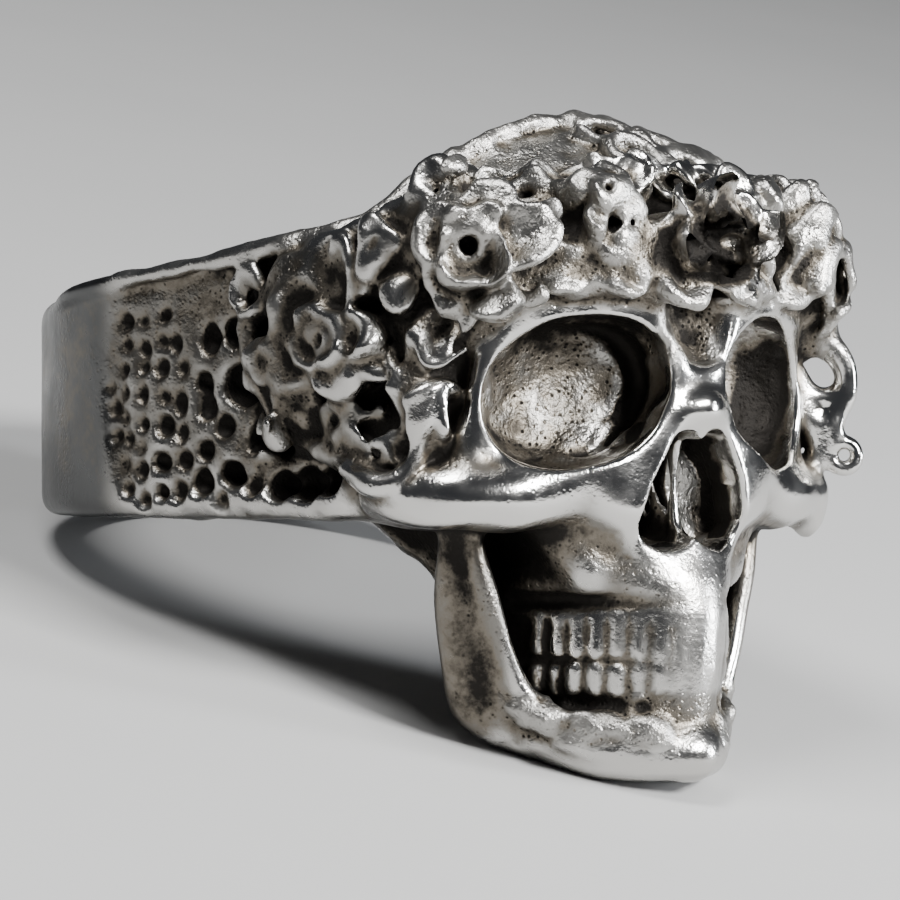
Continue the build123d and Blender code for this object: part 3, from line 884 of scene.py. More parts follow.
# %% The stems
wreath_stems = (
    ((80, 16, 0.45), (96, 11, 0.5), (110, 0, 0.5), (108, -12, 0.5), (98, -22, 0.5), (86, -28, 0.55),
     (72, -29, 0.5), (61, -24, 0.42)),
    ((95, 8, 0.28), (98, -4, 0.3), (94, -16, 0.3), (86, -24, 0.28)),
    ((58, 8, 0.32), (62, -2, 0.34), (60, -12, 0.34), (64, -20, 0.3)),
    ((34, 4.5, 0.24), (22, 6, 0.3), (8, 5, 0.26)),
    ((24, 39, 0.34), (44, 35, 0.38), (62, 25, 0.36), (78, 15, 0.32), (92, 7, 0.3)))
far_stems = (
    ((8.4, 17.0, 2.6, 0.6), (9.6, 18.0, 2.5, 0.6), (10.2, 18.6, 1.4, 0.5), (10.3, 18.6, 0.3, 0.46),
     (9.9, 18.3, -0.7, 0.45), (9.9, 18.4, -1.5, 0.36)),
    ((8.3, 17.0, 1.9, 0.6), (8.9, 17.5, 0.9, 0.5), (8.9, 17.6, 0.0, 0.55), (9.3, 17.8, -0.9, 0.55),
     (9.5, 17.9, -1.9, 0.42), (9.2, 17.6, -2.6, 0.5)),
    ((8.9, 17.5, 0.5, 0.5), (9.6, 18.1, 0.2, 0.42), (10.2, 18.5, 0.4, 0.4)),
    ((9.2, 17.7, -0.7, 0.5), (9.9, 18.3, -0.8, 0.45)),
    ((8.3, 17.2, 4.4, 0.6), (9.4, 17.8, 3.7, 0.6), (9.7, 18.0, 2.4, 0.5)))
for side in (-1, 1):
    for stem in wreath_stems:
        rows = [(*Seat(side * azimuth, elevation, 0.35).place, radius) for azimuth, elevation, radius in stem]
        bar(wax.build, rows, 0.25)
loop = []
for t in np.linspace(0, 2 * np.pi, 9):
    loop.append((10.25 + 0.42 * np.cos(t), 18.6 + 0.35 * np.cos(t), -2.0 + 0.54 * np.sin(t), 0.27))
bar(wax.build, loop, 0.1)
for stem in far_stems:
    bar(wax.build, stem, 0.22)
print("wax so far, mm3:", wax.volume())

# %% [markdown]
# On the far side the wreath climbs over the crown as a low ridge with eyelets, and each eyelet has a rough
# dent. The ridge's points are given by how far they lie out from the head's middle along its far side, and
# how far up.

# %% The ridge and its eyelets
ridge_across, ridge_ahead, ridge_shift = 0.766, 0.643, 0.2
ridge = (
    (3.2, 6.6, 0.3), (4.2, 6.45, 0.42), (5.0, 6.1, 0.46), (5.6, 5.85, 0.5), (6.3, 5.45, 0.5),
    (6.9, 5.05, 0.5), (7.6, 4.85, 0.45),
)
ridge_bar = []
for out, up, radius in ridge:
    across, ahead = ridge_across * out - ridge_shift, head_forward + ridge_ahead * out + ridge_shift
    ridge_bar.append((across, ahead, head_lift + up, radius))
bar(wax.build, ridge_bar, 0.3)
pad = Seat(44, 46).place
wax.build(egg(pad, (2.0, 1.9, 1.0)), pad - 3, pad + 3, 0.6)
eyelets = (
    (1, 60, 0.8, 0.55, 0.28), (3, 46, 0.85, 0.9, 0.32), (32, 52, 0.55, 0.6, 0.28), (47, 47, 0.6, 0.6, 0.28),
    (25, 42, 0.7, 0.6, 0.3),
)
for azimuth, elevation, wide, high, radius in eyelets:
    seat = Seat(azimuth, elevation, 0.2)
    eyelet(seat, wide + radius, high + radius, 0.1, radius, 0.3)
    dent = seat.spot(0, 0, 0.3)
    wax.carve(egg(dent, (wide * 0.9, wide * 0.9, high * 0.9)), dent - 2, dent + 2, 0.25)
print("wax so far, mm3:", wax.volume())

# %% [markdown]
# Tendrils and berries fill what is left. They keep a small distance from one another, and some tendrils
# stand clear of the ground, so light and shade pass under them.

# %% Tendrils and berries
luck = np.random.default_rng(77)
tries, least_gap, tendril_share = 700, 1.4, 0.72
curl_spans = ((0.6, 1.15), (0, 360), (130, 300), (0.1, 0.6), (0.24, 0.38), (-0.1, 0.3))
taken = []
tendrils = berries = 0
for _ in range(tries):
    azimuth, elevation = luck.uniform(-110, 110), luck.uniform(-36, 46)
    seat = Seat(azimuth, elevation)
    too_near_edge = float(wreath_share(*seat.place)) < (0.8 if elevation > 22 else 0.12)
    near = min([np.linalg.norm(seat.place - other) for other in taken] or [9])
    over_cheek = elevation < -27 and abs(azimuth) < 74
    if too_near_edge or near < least_gap or over_cheek:
        continue
    taken.append(seat.place)
    seat = Seat(azimuth, elevation, luck.uniform(0.2, 0.7), luck.uniform(0, 360), luck.normal(0, 0.25, 2))
    if luck.uniform() < tendril_share:
        curl(seat, *(luck.uniform(*span) for span in curl_spans))
        tendrils += 1
    else:
        for number in range(luck.integers(1, 4)):
            at = seat.spot(*(luck.normal(0, 0.5, 2)), 0.3 + 0.1 * number)
            size = luck.uniform(0.38, 0.66)
            wax.build(egg(at, (size, size * luck.uniform(0.7, 1), size)), at - 1.2, at + 1.2, 0.2)
            dimple = at + (seat.spot(0, 0, 1) - seat.place) * size
            wax.carve(egg(dimple, (0.2, 0.2, 0.2)), dimple - 0.6, dimple + 0.6, 0.1)
            berries += 1
print("tendrils:", tendrils, "berries:", berries)

# %% [markdown]
# Soft wax sags and gets pushed about while it is worked. The whole wreath is moved a little this way and
# that, so that no petal keeps its even shape.

# %% The wreath, pushed about
push_mm, push_size = 0.27, 1.7
cuts, there = wax.window((-11.4, 7.6, -4.6), (11.4, 21.8, 11.8))
push = step_up(wreath_share(*there), -0.5, 0.5)
spots_in = np.meshgrid(*[np.arange(cut.start, cut.stop, dtype=np.float32) for cut in cuts], indexing="ij")
moved = []
for axis, base in enumerate(spots_in):
    moved.append((base + push_mm / pitch * push * ripple(there, push_size, 80 + axis)).ravel())
wax.depth[cuts] = sample(wax.depth, np.stack(moved, 1)).reshape(push.shape)
print("pushed points:", int((push > 0).sum()))
del push, spots_in, moved

# %% [markdown]
# The casting's skin is coarse on the crown, the forehead, the strip over each socket, the floors of the
# sockets and the nose, the shoulders and the ledge of the chin. Small bumps are pressed into the wax there,
# and in some patches of the wreath. The rest stays smooth, for polishing. Before that the wreath gets
# larger lumps, and all of the wax is melted a little, so no edge stays sharp.

# %% The coarse skin
floor_wide, floor_high = 3.3, 2.85


def coarseness(x, f, z):
    """Where the casting was left coarse, from 0 to 1."""
    across = np.abs(x)
    crown = step_up(z, 3.1, 3.9) * step_up(f, 9, 11) * step_up(-wreath_share(x, f, z), -0.05, 0.25)
    brow = step_up(-np.abs(x + 0.5), -2.0, -1.3) * step_up(z, 1.1, 1.7) * step_up(-z, -4.4, -4.0)
    brow = brow * step_up(f, 18.6, 19.2)
    from_socket = np.hypot((across - socket[0]) / floor_wide, (z - socket[2]) / floor_high)
    socket_floor = step_up(-from_socket, -1.0, -0.86) * step_up(f, 14.5, 16) * (f < 19.9)
    ledge = step_up(-np.abs(z + 11.75), -1.2, -0.8) * step_up(f, 15.8, 16.6) * step_up(across, 0.7, 1.7)
    shoulder = 0.55 * step_up(f, 0.0, 1.2) * step_up(-f, -12.5, -11)
    shoulder = shoulder * (np.hypot(across, f) > bore_radius + 0.5)
    from_rim = np.hypot((across - socket[0]) / rim_wide, (z - socket[2]) / rim_high)
    strip = 0.8 * step_up(from_rim, 1.05, 1.12) * step_up(z, 1.2, 2.2) * step_up(f, 16.5, 17.2)
    strip = strip * step_up(across, 1.8, 2.6)
    nose_floor = (across < 2.6) * (np.abs(z + 3.3) < 2.3) * (f > 17.5) * (f < 19.3)
    return np.clip(crown + brow + strip + socket_floor + ledge + shoulder + nose_floor, 0, 1)


def soften(block, reach):
    """Blurs a block over the reach given, in steps of its own points."""
    for _ in range(2):
        for axis in range(3):
            block = np.moveaxis(block, axis, 0)
            padded = np.concatenate([block[:1].repeat(reach + 1, 0), block, block[-1:].repeat(reach, 0)])
            sums = np.cumsum(padded, 0, dtype=np.float32)
            block = np.moveaxis((sums[2 * reach + 1:] - sums[: -2 * reach - 1]) / (2 * reach + 1), 0, axis)
    return block


spots_there = np.meshgrid(*wax.axes, indexing="ij", sparse=True)
in_wreath = step_up(wreath_share(*spots_there), -0.4, 0.3)
near_skin = np.exp(-((wax.depth / 0.6) ** 2))
front = step_up(spots_there[1], 0.3, 3)
lumps = 0.06 * in_wreath * ripple(spots_there, 0.7, 63)
lumps = lumps + (0.006 + 0.022 * front) * ripple(spots_there, 1.3, 64)
wax.depth += near_skin * lumps
wax.depth = soften(wax.depth, 1)
bumps = 0.03 * ripple(spots_there, 0.36, 61) + 0.045 * ripple(spots_there, 0.6, 62)
bumps = bumps * (1 + 0.8 * step_up(-spots_there[2], 10.6, 11.0))
porous = 0.75 * in_wreath * step_up(ripple(spots_there, 1.5, 65), 0.1, 0.6)
wax.depth += near_skin * np.maximum(coarseness(*spots_there), porous) * bumps
del near_skin, lumps, bumps, in_wreath, porous
wax.carve(bore, (-10.5, -10.5, -16), (10.5, 10.5, 13), 0.1)


def under_floor(x, f, z):
    """Above the floor that the ring will lie on this is more than 0."""
    return floor_height + floor_normal[1] * f + floor_normal[2] * z + 0 * x


wax.carve(under_floor, *everywhere, 0.1)
print("wax at the end, mm3:", wax.volume())

# %% [markdown]
# Blackening gathers where polishing can't reach, so the finish needs to know how enclosed each spot is. The
# wax block can say: when its inside is blurred, a flat wall reads one half, a groove reads more and a ridge
# reads less. A fine blur finds scratches and pits, and a wide one finds sockets and the hollow of the jaw.

# %% How enclosed each spot is
fine_blur, wide_blur = 0.28, 1.0
even = tuple(slice(0, size // 2 * 2) for size in wax.depth.shape)
filled = np.clip(0.5 - wax.depth[even] / pitch, 0, 1)
filled = (filled[::2] + filled[1::2]) / 2
filled = (filled[:, ::2] + filled[:, 1::2]) / 2
filled = (filled[:, :, ::2] + filled[:, :, 1::2]) / 2
fine_fill = soften(filled, max(1, round(fine_blur / (2 * pitch))))
wide_fill = soften(filled, round(wide_blur / (2 * pitch)))
print("blurred blocks:", fine_fill.shape)

# %% [markdown]
# Now the skin. A cell of the grid whose corners are partly inside gets one point, where the surface passes,
# and four such points round a crossed grid line make a face. The skin is then thinned out, so that flat
# places keep few faces and ornament keeps many, and each point is set back on the wax's true surface. Loose
# crumbs and bubbles closed inside the wax are dropped.

# %% A skin round the wax


def draw_skin(depth):
    """Points and four-sided faces where the distance passes through 0, in grid steps."""
    inside = depth < 0
    shape = np.array(depth.shape) - 1
    offsets = [(i, j, k) for i in (0, 1) for j in (0, 1) for k in (0, 1)]
    full = np.zeros(shape, np.uint8)
    for i, j, k in offsets:
        full += inside[i:shape[0] + i, j:shape[1] + j, k:shape[2] + k]
    cells = np.argwhere((full > 0) & (full < 8))
    number = np.full(shape, -1, np.int32)
    number[tuple(cells.T)] = np.arange(len(cells))
    values = np.stack([depth[tuple((cells + offset).T)] for offset in offsets], 1)
    total, hits = np.zeros((len(cells), 3)), np.zeros(len(cells))
    for p, start in enumerate(offsets):
        for q, stop in enumerate(offsets):
            if q > p and sum(abs(a - b) for a, b in zip(start, stop)) == 1:
                crossed = (values[:, p] < 0) != (values[:, q] < 0)
                share = np.where(crossed, values[:, p] / (values[:, p] - values[:, q] + 1e-12), 0)
                step = np.array(start) + share[:, None] * (np.array(stop) - np.array(start))
                total += crossed[:, None] * step
                hits += crossed
    spots = cells + total / hits[:, None]
    faces = []
    for axis in range(3):
        side_a, side_b = (axis + 1) % 3, (axis + 2) % 3
        lower = np.moveaxis(inside, (axis, side_a, side_b), (0, 1, 2))
        numbers = np.moveaxis(number, (axis, side_a, side_b), (0, 1, 2))
        changed = lower[:-1, 1:-1, 1:-1] != lower[1:, 1:-1, 1:-1]
        i, j, k = np.nonzero(changed)
        j, k = j + 1, k + 1
        around = ((j - 1, k - 1), (j - 1, k), (j, k), (j, k - 1))
        quad = np.stack([numbers[i, b, c] for b, c in around], 1)
        outward = lower[i, j, k]
        faces.append(np.where(outward[:, None], quad, quad[:, ::-1]))
    return spots, np.vstack(faces)


def largest_piece(spots, faces):
    """The largest connected piece of the skin, and how many other pieces were dropped."""
    label = np.arange(len(spots))
    pairs = np.vstack([faces[:, [0, 1]], faces[:, [1, 2]], faces[:, [2, 3]]])
    while True:
        low = np.minimum(label[pairs[:, 0]], label[pairs[:, 1]])
        before = label.copy()
        np.minimum.at(label, pairs[:, 0], low)
        np.minimum.at(label, pairs[:, 1], low)
        label = label[label]
        if (label == before).all():
            break
    names, sizes = np.unique(label, return_counts=True)
    kept = label == names[sizes.argmax()]
    renumber = np.cumsum(kept) - 1
    return spots[kept], renumber[faces[kept[faces[:, 0]]]], len(names) - 1


def slope(spots, step=0.7):
    """How the distance changes at each spot, which points straight out of the wax."""
    parts = []
    for axis in range(3):
        shift = np.zeros(3)
        shift[axis] = step
        parts.append(sample(wax.depth, spots + shift) - sample(wax.depth, spots - shift))
    return np.stack(parts, 1) / (2 * step)


spots, faces = draw_skin(wax.depth)
spots, faces, crumbs = largest_piece(spots, faces)
print("skin:", len(spots), "points,", len(faces), "faces, dropped pieces:", crumbs)

# %% [markdown]
# The skin becomes a mesh, first in grid steps, for the thinning, and then in the room. Its shading normals
# come from the wax itself, which is finer than the faces, so reflections run smoothly over it.

# %% The casting's mesh
quick_faces, fine_faces, furthest_move = 60000, 198000, 0.6
most_faces = fine_faces
rough_mesh = bpy.data.meshes.new("ring_silver")
rough_mesh.from_pydata(spots.tolist(), [], faces.tolist())
ring = bpy.data.objects.new("ring_silver", rough_mesh)
bpy.context.scene.collection.objects.link(ring)
thin = ring.modifiers.new("thin", "DECIMATE")
thin.ratio = min(1.0, most_faces / (2 * len(faces)))
graph = bpy.context.evaluated_depsgraph_get()
ring_mesh = bpy.data.meshes.new_from_object(ring.evaluated_get(graph))
ring.modifiers.clear()
ring.data = ring_mesh
ring_mesh.name = "ring_silver"

spots = np.empty(len(ring_mesh.vertices) * 3)
ring_mesh.vertices.foreach_get("co", spots)
spots = spots.reshape(-1, 3)
for _ in range(2):
    lean = slope(spots)
    steep = np.maximum((lean**2).sum(1), 1e-4 * pitch**2)
    move = (sample(wax.depth, spots) / steep)[:, None] * lean
    spots -= np.clip(move, -furthest_move, furthest_move)
lean = slope(spots)
lean /= np.linalg.norm(lean, axis=1)[:, None] + 1e-9
wax_spots = grid_start + spots * pitch
turn = np.array(to_room)[:3, :3]
room_spots = wax_spots @ turn.T + np.array(to_room)[:3, 3]
room_normals = lean @ (turn / MM).T
ring_mesh.vertices.foreach_set("co", room_spots.astype(np.float32).ravel())
ring_mesh.update()
ring_mesh.shade_smooth()
ring_mesh.normals_split_custom_set_from_vertices(room_normals)
print("mesh:", len(ring_mesh.polygons), "faces, lowest point, mm:", round(room_spots[:, 2].min() / MM, 3))

# %% [markdown]
# The finish reads five numbers that are kept at each point of the mesh: the fine and the wide shade, how
# coarse the casting is there, how satin it is, where satin also takes a painted dark reflection, and how much
# it was polished. A hand darkens and polishes unevenly, so the measured shade alone isn't enough. The next
# cells
# add what the real ring shows: the hollow of the jaw is black up to its edges, and so is a crescent in each
# socket. They also add painted shade under the forms that face the floor.

# %% Shade in the sockets, the nose and the jaw's hollow
side_way, forward, height = wax_spots.T
across = np.abs(side_way)
fine_shade = sample(fine_fill, spots, 0.5, -0.25) - 0.5
wide_shade = sample(wide_fill, spots, 0.5, -0.25) - 0.5
uncut = step_up(fine_shade, -0.12, 0.0)

front_heights, front_across = [z for _, _, z in jaw_front[::-1]], [x for x, _, _ in jaw_front[::-1]]
jaw_inside = np.interp(height, front_heights, front_across) - across
black_from = np.interp(height, (-9, -7, -5), (3.1, 3.4, 4.2))
hollow = step_up(across - black_from, 0, 1.2) * step_up(jaw_inside, -0.1, 0.15)
hollow = hollow * step_up(-height, 4.35, 5.0) * step_up(height, -12.2, -11.2)
hollow = hollow * uncut

off_x, off_f = across - socket[0], forward - socket[1]
socket_u, socket_v = turn_c * off_x - turn_s * off_f, height - socket[2]
from_middle = np.hypot(socket_u / floor_wide, socket_v / floor_high)
in_socket = step_up(-from_middle, -1.0, -0.9) * step_up(forward, 14.5, 16)
in_far_socket = step_up(-np.hypot(socket_u / 3.8, socket_v / 3.1), -1.0, -0.94) * step_up(forward, 14.0, 15)
in_far_socket = (side_way > 0) * in_far_socket
crescent = in_socket * (0.45 * step_up(-socket_u, 1.9, 2.7) + 0.14 * step_up(socket_v, 0.6, 2.4) - 0.13)
crescent += 0.5 * in_far_socket * step_up(socket_u, 1.7, 2.7)
crescent -= 0.3 * in_far_socket * step_up(-socket_u, -2.0, -1.2)
crescent -= 0.35 * in_socket * step_up(-socket_u, 1.4, 1.9) * step_up(-fine_shade, 0.0, 0.06)
crescent = np.minimum(crescent, crescent * uncut)

in_nose = step_up(-forward, -20.3, -20.05) * (across < 2.9) * (np.abs(height + 3.3) < 2.5) * (forward > 17)
steep = step_up(np.abs(lean[:, 0]), 0.55, 0.8)
slots = in_nose * (0.5 * steep - 0.32 * (1 - steep))
dark_points = int((hollow > 0.5).sum()), int((crescent > 0.2).sum())
print("points in the black of the jaw and the sockets:", *dark_points)

# %% [markdown]
# The pits are black inside. The wreath and the shoulders are a little darker, because the wheel hardly
# reached them. The plates of the jaw are darker too, partly from that film and partly as a painted dark
# reflection, and all that faces the floor gets painted shade. The crown, the bore and the teeth were rubbed
# bright.

# %% Shade of the pits, the wreath and the jaw's plates, and painted shade underneath
share_there = wreath_share(*wax_spots.T)
in_wreath = step_up(share_there, 0, 0.3)
on_crown = step_up(height, 5.2, 6.0) * step_up(-share_there, -0.05, 0.25) * step_up(forward, 9, 11)
in_mouth = step_up(height, -10.9, -10.6) * step_up(-height, 7.6, 7.9)
in_mouth = in_mouth * step_up(forward, 16.2, 17) * (across < 4.2)
teeth_shade = -0.3 * in_mouth * step_up(-fine_shade, -0.01, 0.07)
wall_depth = -band_outline(across, forward) * (np.hypot(across, forward) > bore_radius + 0.45)
in_pit = step_up(wall_depth, 0.3, 0.75) * step_up(forward, 0.2, 0.8)
in_pit = in_pit * (forward < 12.6) * (np.abs(height - 0.3) < 4.0)
in_bore = step_up(-np.hypot(across, forward), -bore_radius - 0.1, -bore_radius - 0.02)
# the jaw's plates: less polish and more film, partly tarnish and partly a painted dark reflection
plate = step_up(across, 5.2, 6.4) * step_up(-height, 4.7, 5.6)
# painted shade: points whose normal faces down get extra film, so undersides read darker as if in shadow
painted_underside_shade = step_up(-room_normals[:, 2] / np.linalg.norm(room_normals, axis=1), 0.25, 0.95)
shoulder = step_up(forward, 0.2, 1.0) * step_up(-forward, -12, -10)
wide_shade = wide_shade + 0.3 * hollow + crescent + slots
wide_shade = wide_shade + 0.05 * in_wreath + 0.09 * painted_underside_shade + 0.1 * shoulder + 0.34 * plate
wreath_dips = 0.06 * in_wreath * step_up(fine_shade, -0.06, 0.02)
wide_shade += teeth_shade - 0.12 * on_crown - 0.12 * in_bore + 0.3 * in_pit * (1 - in_wreath) + wreath_dips

# %% [markdown]
# Last come coarseness, satin and polish. The back of the band and the bore are satin, and the material
# paints a dark reflection there. What is neither dark, coarse nor satin was polished: the cheekbones, the
# nose, the jaw's lip and the petals' edges.

# %% Coarseness, satin and polish
lips = 0.45 * step_up(forward, 14, 15) * step_up(-height, 4.6, 5.4) * (across < 5.2)
wreath_hollows = 0.85 * in_wreath * step_up(fine_shade + 0.3 * wide_shade, 0.0, 0.1)
coarse = coarseness(*wax_spots.T) * (1 - in_bore)
for rough_part in (lips, 0.18 * in_wreath, wreath_hollows):
    coarse = np.maximum(coarse, rough_part)
# the satin back of the band and the bore: no polish there, and the material paints a dark reflection on it
satin_and_painted_reflection = np.maximum(step_up(-forward, -1.5, 0.5), 0.7 * in_bore)
polish = step_up(-wide_shade - 0.7 * fine_shade, 0.03, 0.17) * (1 - coarse * 0.6) * (1 - satin_and_painted_reflection)
polish = polish * (1 - 0.8 * plate) * (1 - 0.2 * in_wreath)
at_points = {
    "fine_shade": fine_shade, "wide_shade": wide_shade, "coarse": coarse, "satin_and_painted_reflection": satin_and_painted_reflection, "polish": polish}
for name, values in at_points.items():
    ring_mesh.attributes.new(name, "FLOAT", "POINT").data.foreach_set("value", values.astype(np.float32))
    print(name, "from", values.min().round(2), "to", values.max().round(2))

# %% [markdown]
# Materials. Two effects are made once as shader groups, with named inputs and outputs: the grain of a rough
# casting, and the blackening that stays in hollows. A short helper adds a node and joins its inputs.

# %% A helper for shader nodes


def node(tree, kind, inputs=(), **settings):
    """Adds a node. Each input gets a value or is joined to another node's output."""
    made = tree.nodes.new(kind)
    for key, value in settings.items():
        setattr(made, key, value)
    for key, value in dict(inputs).items():
        socket_in = made.inputs[key]
        if isinstance(value, bpy.types.NodeSocket):
            tree.links.new(value, socket_in)
        else:
            socket_in.default_value = value
    return made


def math_node(tree, operation, *values):
    return node(tree, "ShaderNodeMath", dict(enumerate(values)), operation=operation).outputs[0]


def total_of(tree, first, *others):
    for other in others:
        first = math_node(tree, "ADD", first, other)
    return first


def scaled(tree, value, by):
    return math_node(tree, "MULTIPLY", value, by)


def map_range(tree, value, low, high, to_low=0.0, to_high=1.0):
    """Moves a value smoothly from one range to another."""
    inputs = {0: value, 1: low, 2: high, 3: to_low, 4: to_high}
    return node(tree, "ShaderNodeMapRange", inputs, interpolation_type="SMOOTHSTEP").outputs[0]


def blend(tree, share, first, second):
    """Goes from the first colour to the second."""
    return node(tree, "ShaderNodeMix", {0: share, 6: first, 7: second}, data_type="RGBA").outputs[2]


def noise(tree, scale, detail, roughness=0.5):
    """Noise over the object itself, with its scale counted per metre."""
    place = node(tree, "ShaderNodeTexCoord").outputs["Object"]
    inputs = {"Vector": place, "Scale": scale, "Detail": detail, "Roughness": roughness}
    return node(tree, "ShaderNodeTexNoise", inputs).outputs[0]


def new_group(name, inputs, outputs):
    """A shader group with its own inputs, given as name: (type, value), and outputs, as name: type."""
    group = bpy.data.node_groups.new(name, "ShaderNodeTree")
    for label, (kind, value) in inputs.items():
        made = group.interface.new_socket(label, in_out="INPUT", socket_type=kind)
        made.default_value = value
    for label, kind in outputs.items():
        group.interface.new_socket(label, in_out="OUTPUT", socket_type=kind)
    return group, node(group, "NodeGroupInput").outputs, node(group, "NodeGroupOutput").inputs


print("shader helpers ready")

# %% [markdown]
# Cast grain is a fine uneven height: small bumps over larger ones, with a few tiny gas holes. It is strong
# where the casting was left coarse and faint where it was polished.

# %% The grain of the casting
FLOAT, COLOR = "NodeSocketFloat", "NodeSocketColor"
grain, grain_in, grain_out = new_group(
    "cast_grain", {"Coarse": (FLOAT, 0.5), "Size": (FLOAT, 0.0004)}, {"Height": FLOAT, "Speckle": FLOAT})
per_metre = math_node(grain, "DIVIDE", 1.0, grain_in["Size"])
bumps = noise(grain, per_metre, 3.0, 0.6)
place = node(grain, "ShaderNodeTexCoord").outputs["Object"]
holes = node(grain, "ShaderNodeTexVoronoi", {"Vector": place, "Scale": scaled(grain, per_metre, 0.9)})
hole_depth = map_range(grain, holes.outputs["Distance"], 0.05, 0.38, -1.0, 0.0)
relief = total_of(grain, scaled(grain, bumps, 1.2), scaled(grain, hole_depth, 0.45))
strength = total_of(grain, scaled(grain, grain_in["Coarse"], 0.95), 0.05)
speckle = scaled(grain, scaled(grain, hole_depth, -1.0), grain_in["Coarse"])
grain.links.new(scaled(grain, relief, strength), grain_out["Height"])
grain.links.new(speckle, grain_out["Speckle"])
print("grain nodes:", len(grain.nodes))

# %% [markdown]
# Blackening is a dark sulphide film. It is full in deep hollows, and its border is ragged and cloudy,
# because the polishing wheel jumps over small dips. Just outside the black the film is thin and looks brown
# or straw-coloured.

# %% The blackening in the hollows
black, black_in, black_out = new_group(
    "recess_blackening",
    {"Fine Shade": (FLOAT, 0.0), "Wide Shade": (FLOAT, 0.0), "Speckle": (FLOAT, 0.0), "Amount": (FLOAT, 1.0),
     "Silver": (COLOR, (0.8, 0.8, 0.8, 1)), "Film": (COLOR, (0.02, 0.02, 0.02, 1)),
     "Thin Film": (COLOR, (0.4, 0.3, 0.2, 1))},
    {"Color": COLOR, "Mask": FLOAT})
ragged = map_range(black, noise(black, 2600.0, 4.0, 0.65), 0.3, 0.7, -0.13, 0.13)
cloudy = map_range(black, noise(black, 620.0, 3.0, 0.6), 0.3, 0.7, -0.13, 0.13)
fine_part = scaled(black, black_in["Fine Shade"], 3.2)
wide_part = scaled(black, black_in["Wide Shade"], 2.6)
enclosed = total_of(black, fine_part, wide_part)
shade = total_of(black, enclosed, scaled(black, black_in["Speckle"], 0.6), cloudy, ragged)
mask = scaled(black, map_range(black, shade, 0.05, 0.6), black_in["Amount"])
stain = scaled(black, map_range(black, shade, -0.35, 0.25), black_in["Amount"])
stained = blend(black, scaled(black, stain, 0.9), black_in["Silver"], black_in["Thin Film"])
black.links.new(blend(black, mask, stained, black_in["Film"]), black_out["Color"])
black.links.new(mask, black_out["Mask"])
print("groups:", [group.name for group in bpy.data.node_groups])

# %% [markdown]
# The silver itself is a metal with a light, slightly warm colour where it was polished, and a greyer one
# where a thin film was left. Where the band and the bore are satin it gets a dark grey painted reflection.
# Its roughness is low on the polished forms and highest where the black film lies.

# %% The silver
silver = bpy.data.materials.new("blackened_silver")
silver.use_nodes = True
tree = silver.node_tree
shader = tree.nodes["Principled BSDF"]
shades = {name: node(tree, "ShaderNodeAttribute", attribute_name=name).outputs["Fac"] for name in at_points}
unpolished_color, polished_color = (0.20, 0.190, 0.172, 1), (0.68, 0.667, 0.64, 1)
# the satin colour is a painted dark reflection, dark grey in place of the dark surroundings it would mirror
painted_dark_reflection, film_color = (0.11, 0.112, 0.112, 1), (0.022, 0.020, 0.018, 1)
thin_film_color = (0.17, 0.148, 0.118, 1)
patch = map_range(tree, noise(tree, 420.0, 3.0), 0.42, 0.64, 0.12, 0.6)
patch = math_node(tree, "SUBTRACT", patch, scaled(tree, shades["satin_and_painted_reflection"], 0.3))
coarse_all = math_node(tree, "MAXIMUM", shades["coarse"], patch)
unpolished = math_node(tree, "SUBTRACT", 1.0, scaled(tree, shades["polish"], 0.75))
grain_inputs = {"Coarse": scaled(tree, coarse_all, unpolished), "Size": 0.00022}
grain_node = node(tree, "ShaderNodeGroup", grain_inputs, node_tree=grain)
metal = blend(tree, shades["polish"], unpolished_color, polished_color)
# painted reflection: the satin areas are blended to the dark grey colour
metal = blend(tree, shades["satin_and_painted_reflection"], metal, painted_dark_reflection)
black_inputs = {
    "Fine Shade": shades["fine_shade"], "Wide Shade": shades["wide_shade"],
    "Speckle": grain_node.outputs["Speckle"],
    "Silver": metal, "Film": film_color, "Thin Film": thin_film_color,
}
black_node = node(tree, "ShaderNodeGroup", black_inputs, node_tree=black)
rough = map_range(tree, noise(tree, 700.0, 3.0), 0.3, 0.7, 0.27, 0.37)
rough = total_of(tree, rough, scaled(tree, shades["coarse"], 0.1))
rough = math_node(tree, "SUBTRACT", rough, scaled(tree, shades["polish"], 0.17))
rough = total_of(tree, rough, scaled(tree, black_node.outputs["Mask"], 0.3))
bump_inputs = {"Strength": 0.6, "Distance": 0.00012, "Height": grain_node.outputs["Height"]}
bump = node(tree, "ShaderNodeBump", bump_inputs)
tree.links.new(black_node.outputs["Color"], shader.inputs["Base Color"])
tree.links.new(math_node(tree, "MINIMUM", rough, 0.7), shader.inputs["Roughness"])
tree.links.new(bump.outputs[0], shader.inputs["Normal"])
shader.inputs["Metallic"].default_value = 1.0
ring_mesh.materials.clear()
ring_mesh.materials.append(silver)
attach(ring, "root")
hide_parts("ring_casting")
print("silver nodes:", len(tree.nodes))

# %% [markdown]
# The ring lies on a plain pale floor, a large plane that isn't part of the object. Its surface is matt.

# %% The floor
floor_mesh = bpy.data.meshes.new("studio_floor")
half = 0.6
corners = [(-half, -half, 0), (half, -half, 0), (half, half, 0), (-half, half, 0)]
floor_mesh.from_pydata(corners, [], [(0, 1, 2, 3)])
floor = bpy.data.objects.new("studio_floor", floor_mesh)
bpy.context.scene.collection.objects.link(floor)
paint = bpy.data.materials.new("floor_paint")
paint.use_nodes = True
paint_tree = paint.node_tree
paint_shader = paint_tree.nodes["Principled BSDF"]
paint_color = blend(paint_tree, noise(paint_tree, 60.0, 2.0), (0.42, 0.42, 0.416, 1), (0.45, 0.448, 0.442, 1))
paint_tree.links.new(paint_color, paint_shader.inputs["Base Color"])
paint_shader.inputs["Roughness"].default_value = 0.85
floor_mesh.materials.append(paint)
print("floor, m:", 2 * half)

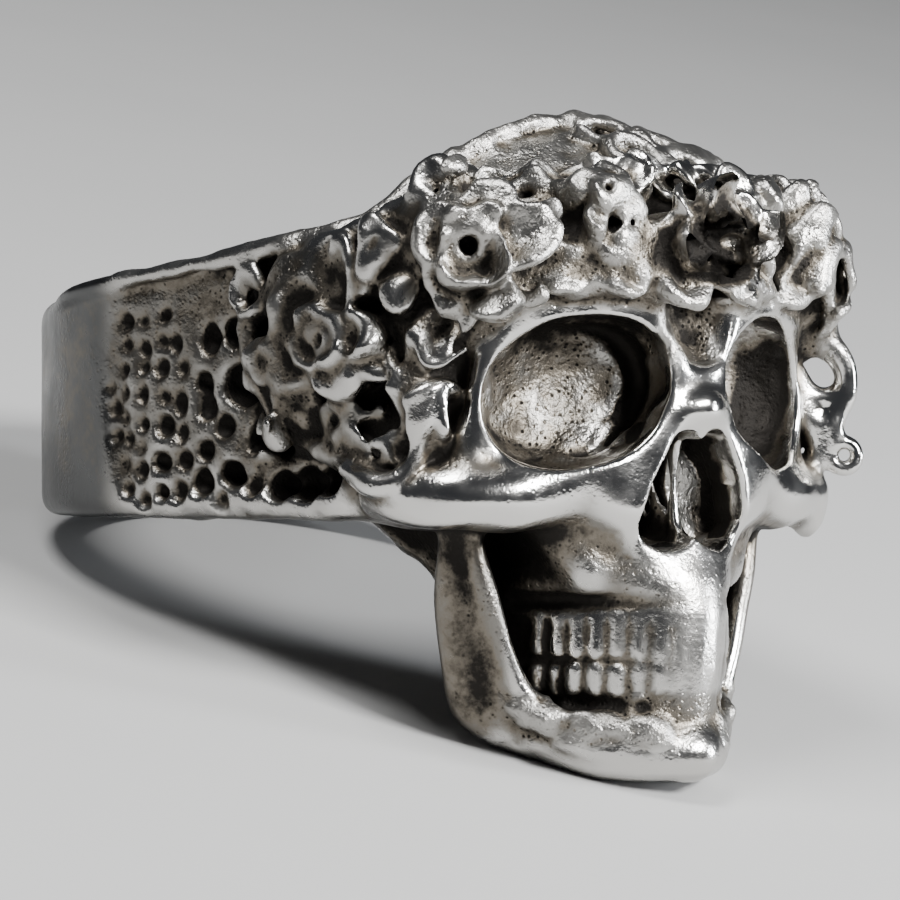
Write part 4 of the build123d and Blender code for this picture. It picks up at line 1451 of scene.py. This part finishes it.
# %% [markdown]
# Metal shows its surroundings more than its own colour. Soft lamps above and beside give the long bright
# reflections, and the dim room between them gives the dark ones.

# %% Light
world = bpy.data.worlds.new("studio")
bpy.context.scene.world = world
world.use_nodes = True
room = world.node_tree.nodes["Background"]
room.inputs["Color"].default_value = (0.30, 0.32, 0.36, 1)
room.inputs["Strength"].default_value = 0.15


def lamp(name, place, target, size, power, color=(1, 1, 1)):
    """A soft lamp: its place, what it points at, its width and height in metres and its power in watts."""
    light = bpy.data.lights.new(name, "AREA")
    light.shape = "RECTANGLE"
    light.size, light.size_y = size
    light.energy = power
    light.color = color
    made = bpy.data.objects.new(name, light)
    made.location = place
    made.rotation_euler = (Vector(target) - Vector(place)).to_track_quat("-Z", "Y").to_euler()
    bpy.context.scene.collection.objects.link(made)


middle = (0, -0.004, 0.011)
lamp("window", (0.04, -0.21, 0.18), middle, (0.09, 0.06), 1.75)
lamp("top", (-0.10, 0.02, 0.24), middle, (0.09, 0.09), 0.65)
lamp("side", (0.19, -0.16, 0.07), middle, (0.04, 0.09), 0.75, (0.93, 0.96, 1.0))
print("lamps:", [light.name for light in bpy.data.lights])

# %% [markdown]
# The camera looks at the ring from the photograph's angle: forty degrees round from the face, and level
# with it as the ring stands upright. It is tipped with the ring, so the skull looks upright in the picture.

# %% Camera
camera_turn, camera_distance, camera_level = np.radians(40), 200.0, -1.8
seen_right, focal, sensor = 4.8, 200.0, 36.0
turned_across, turned_ahead = np.sin(camera_turn), np.cos(camera_turn)
camera_spot = Vector((-turned_across * camera_distance, turned_ahead * camera_distance, camera_level))
aim_spot = Vector((turned_ahead * seen_right, turned_across * seen_right, camera_level))
camera_data = bpy.data.cameras.new("camera")
camera_data.lens, camera_data.sensor_width = focal, sensor
camera_data.clip_start, camera_data.clip_end = 0.01, 5
camera = bpy.data.objects.new("camera", camera_data)
bpy.context.scene.collection.objects.link(camera)
eye, aim = to_room @ camera_spot, to_room @ aim_spot
ahead = (aim - eye).normalized()
side = ahead.cross(ring_up).normalized()
upward = side.cross(ahead)
camera.matrix_world = Matrix((
    (side.x, upward.x, -ahead.x, eye.x),
    (side.y, upward.y, -ahead.y, eye.y),
    (side.z, upward.z, -ahead.z, eye.z),
    (0, 0, 0, 1),
))
bpy.context.scene.camera = camera
print("camera, m:", [round(v, 4) for v in eye], "above the floor:", eye.z > 0)
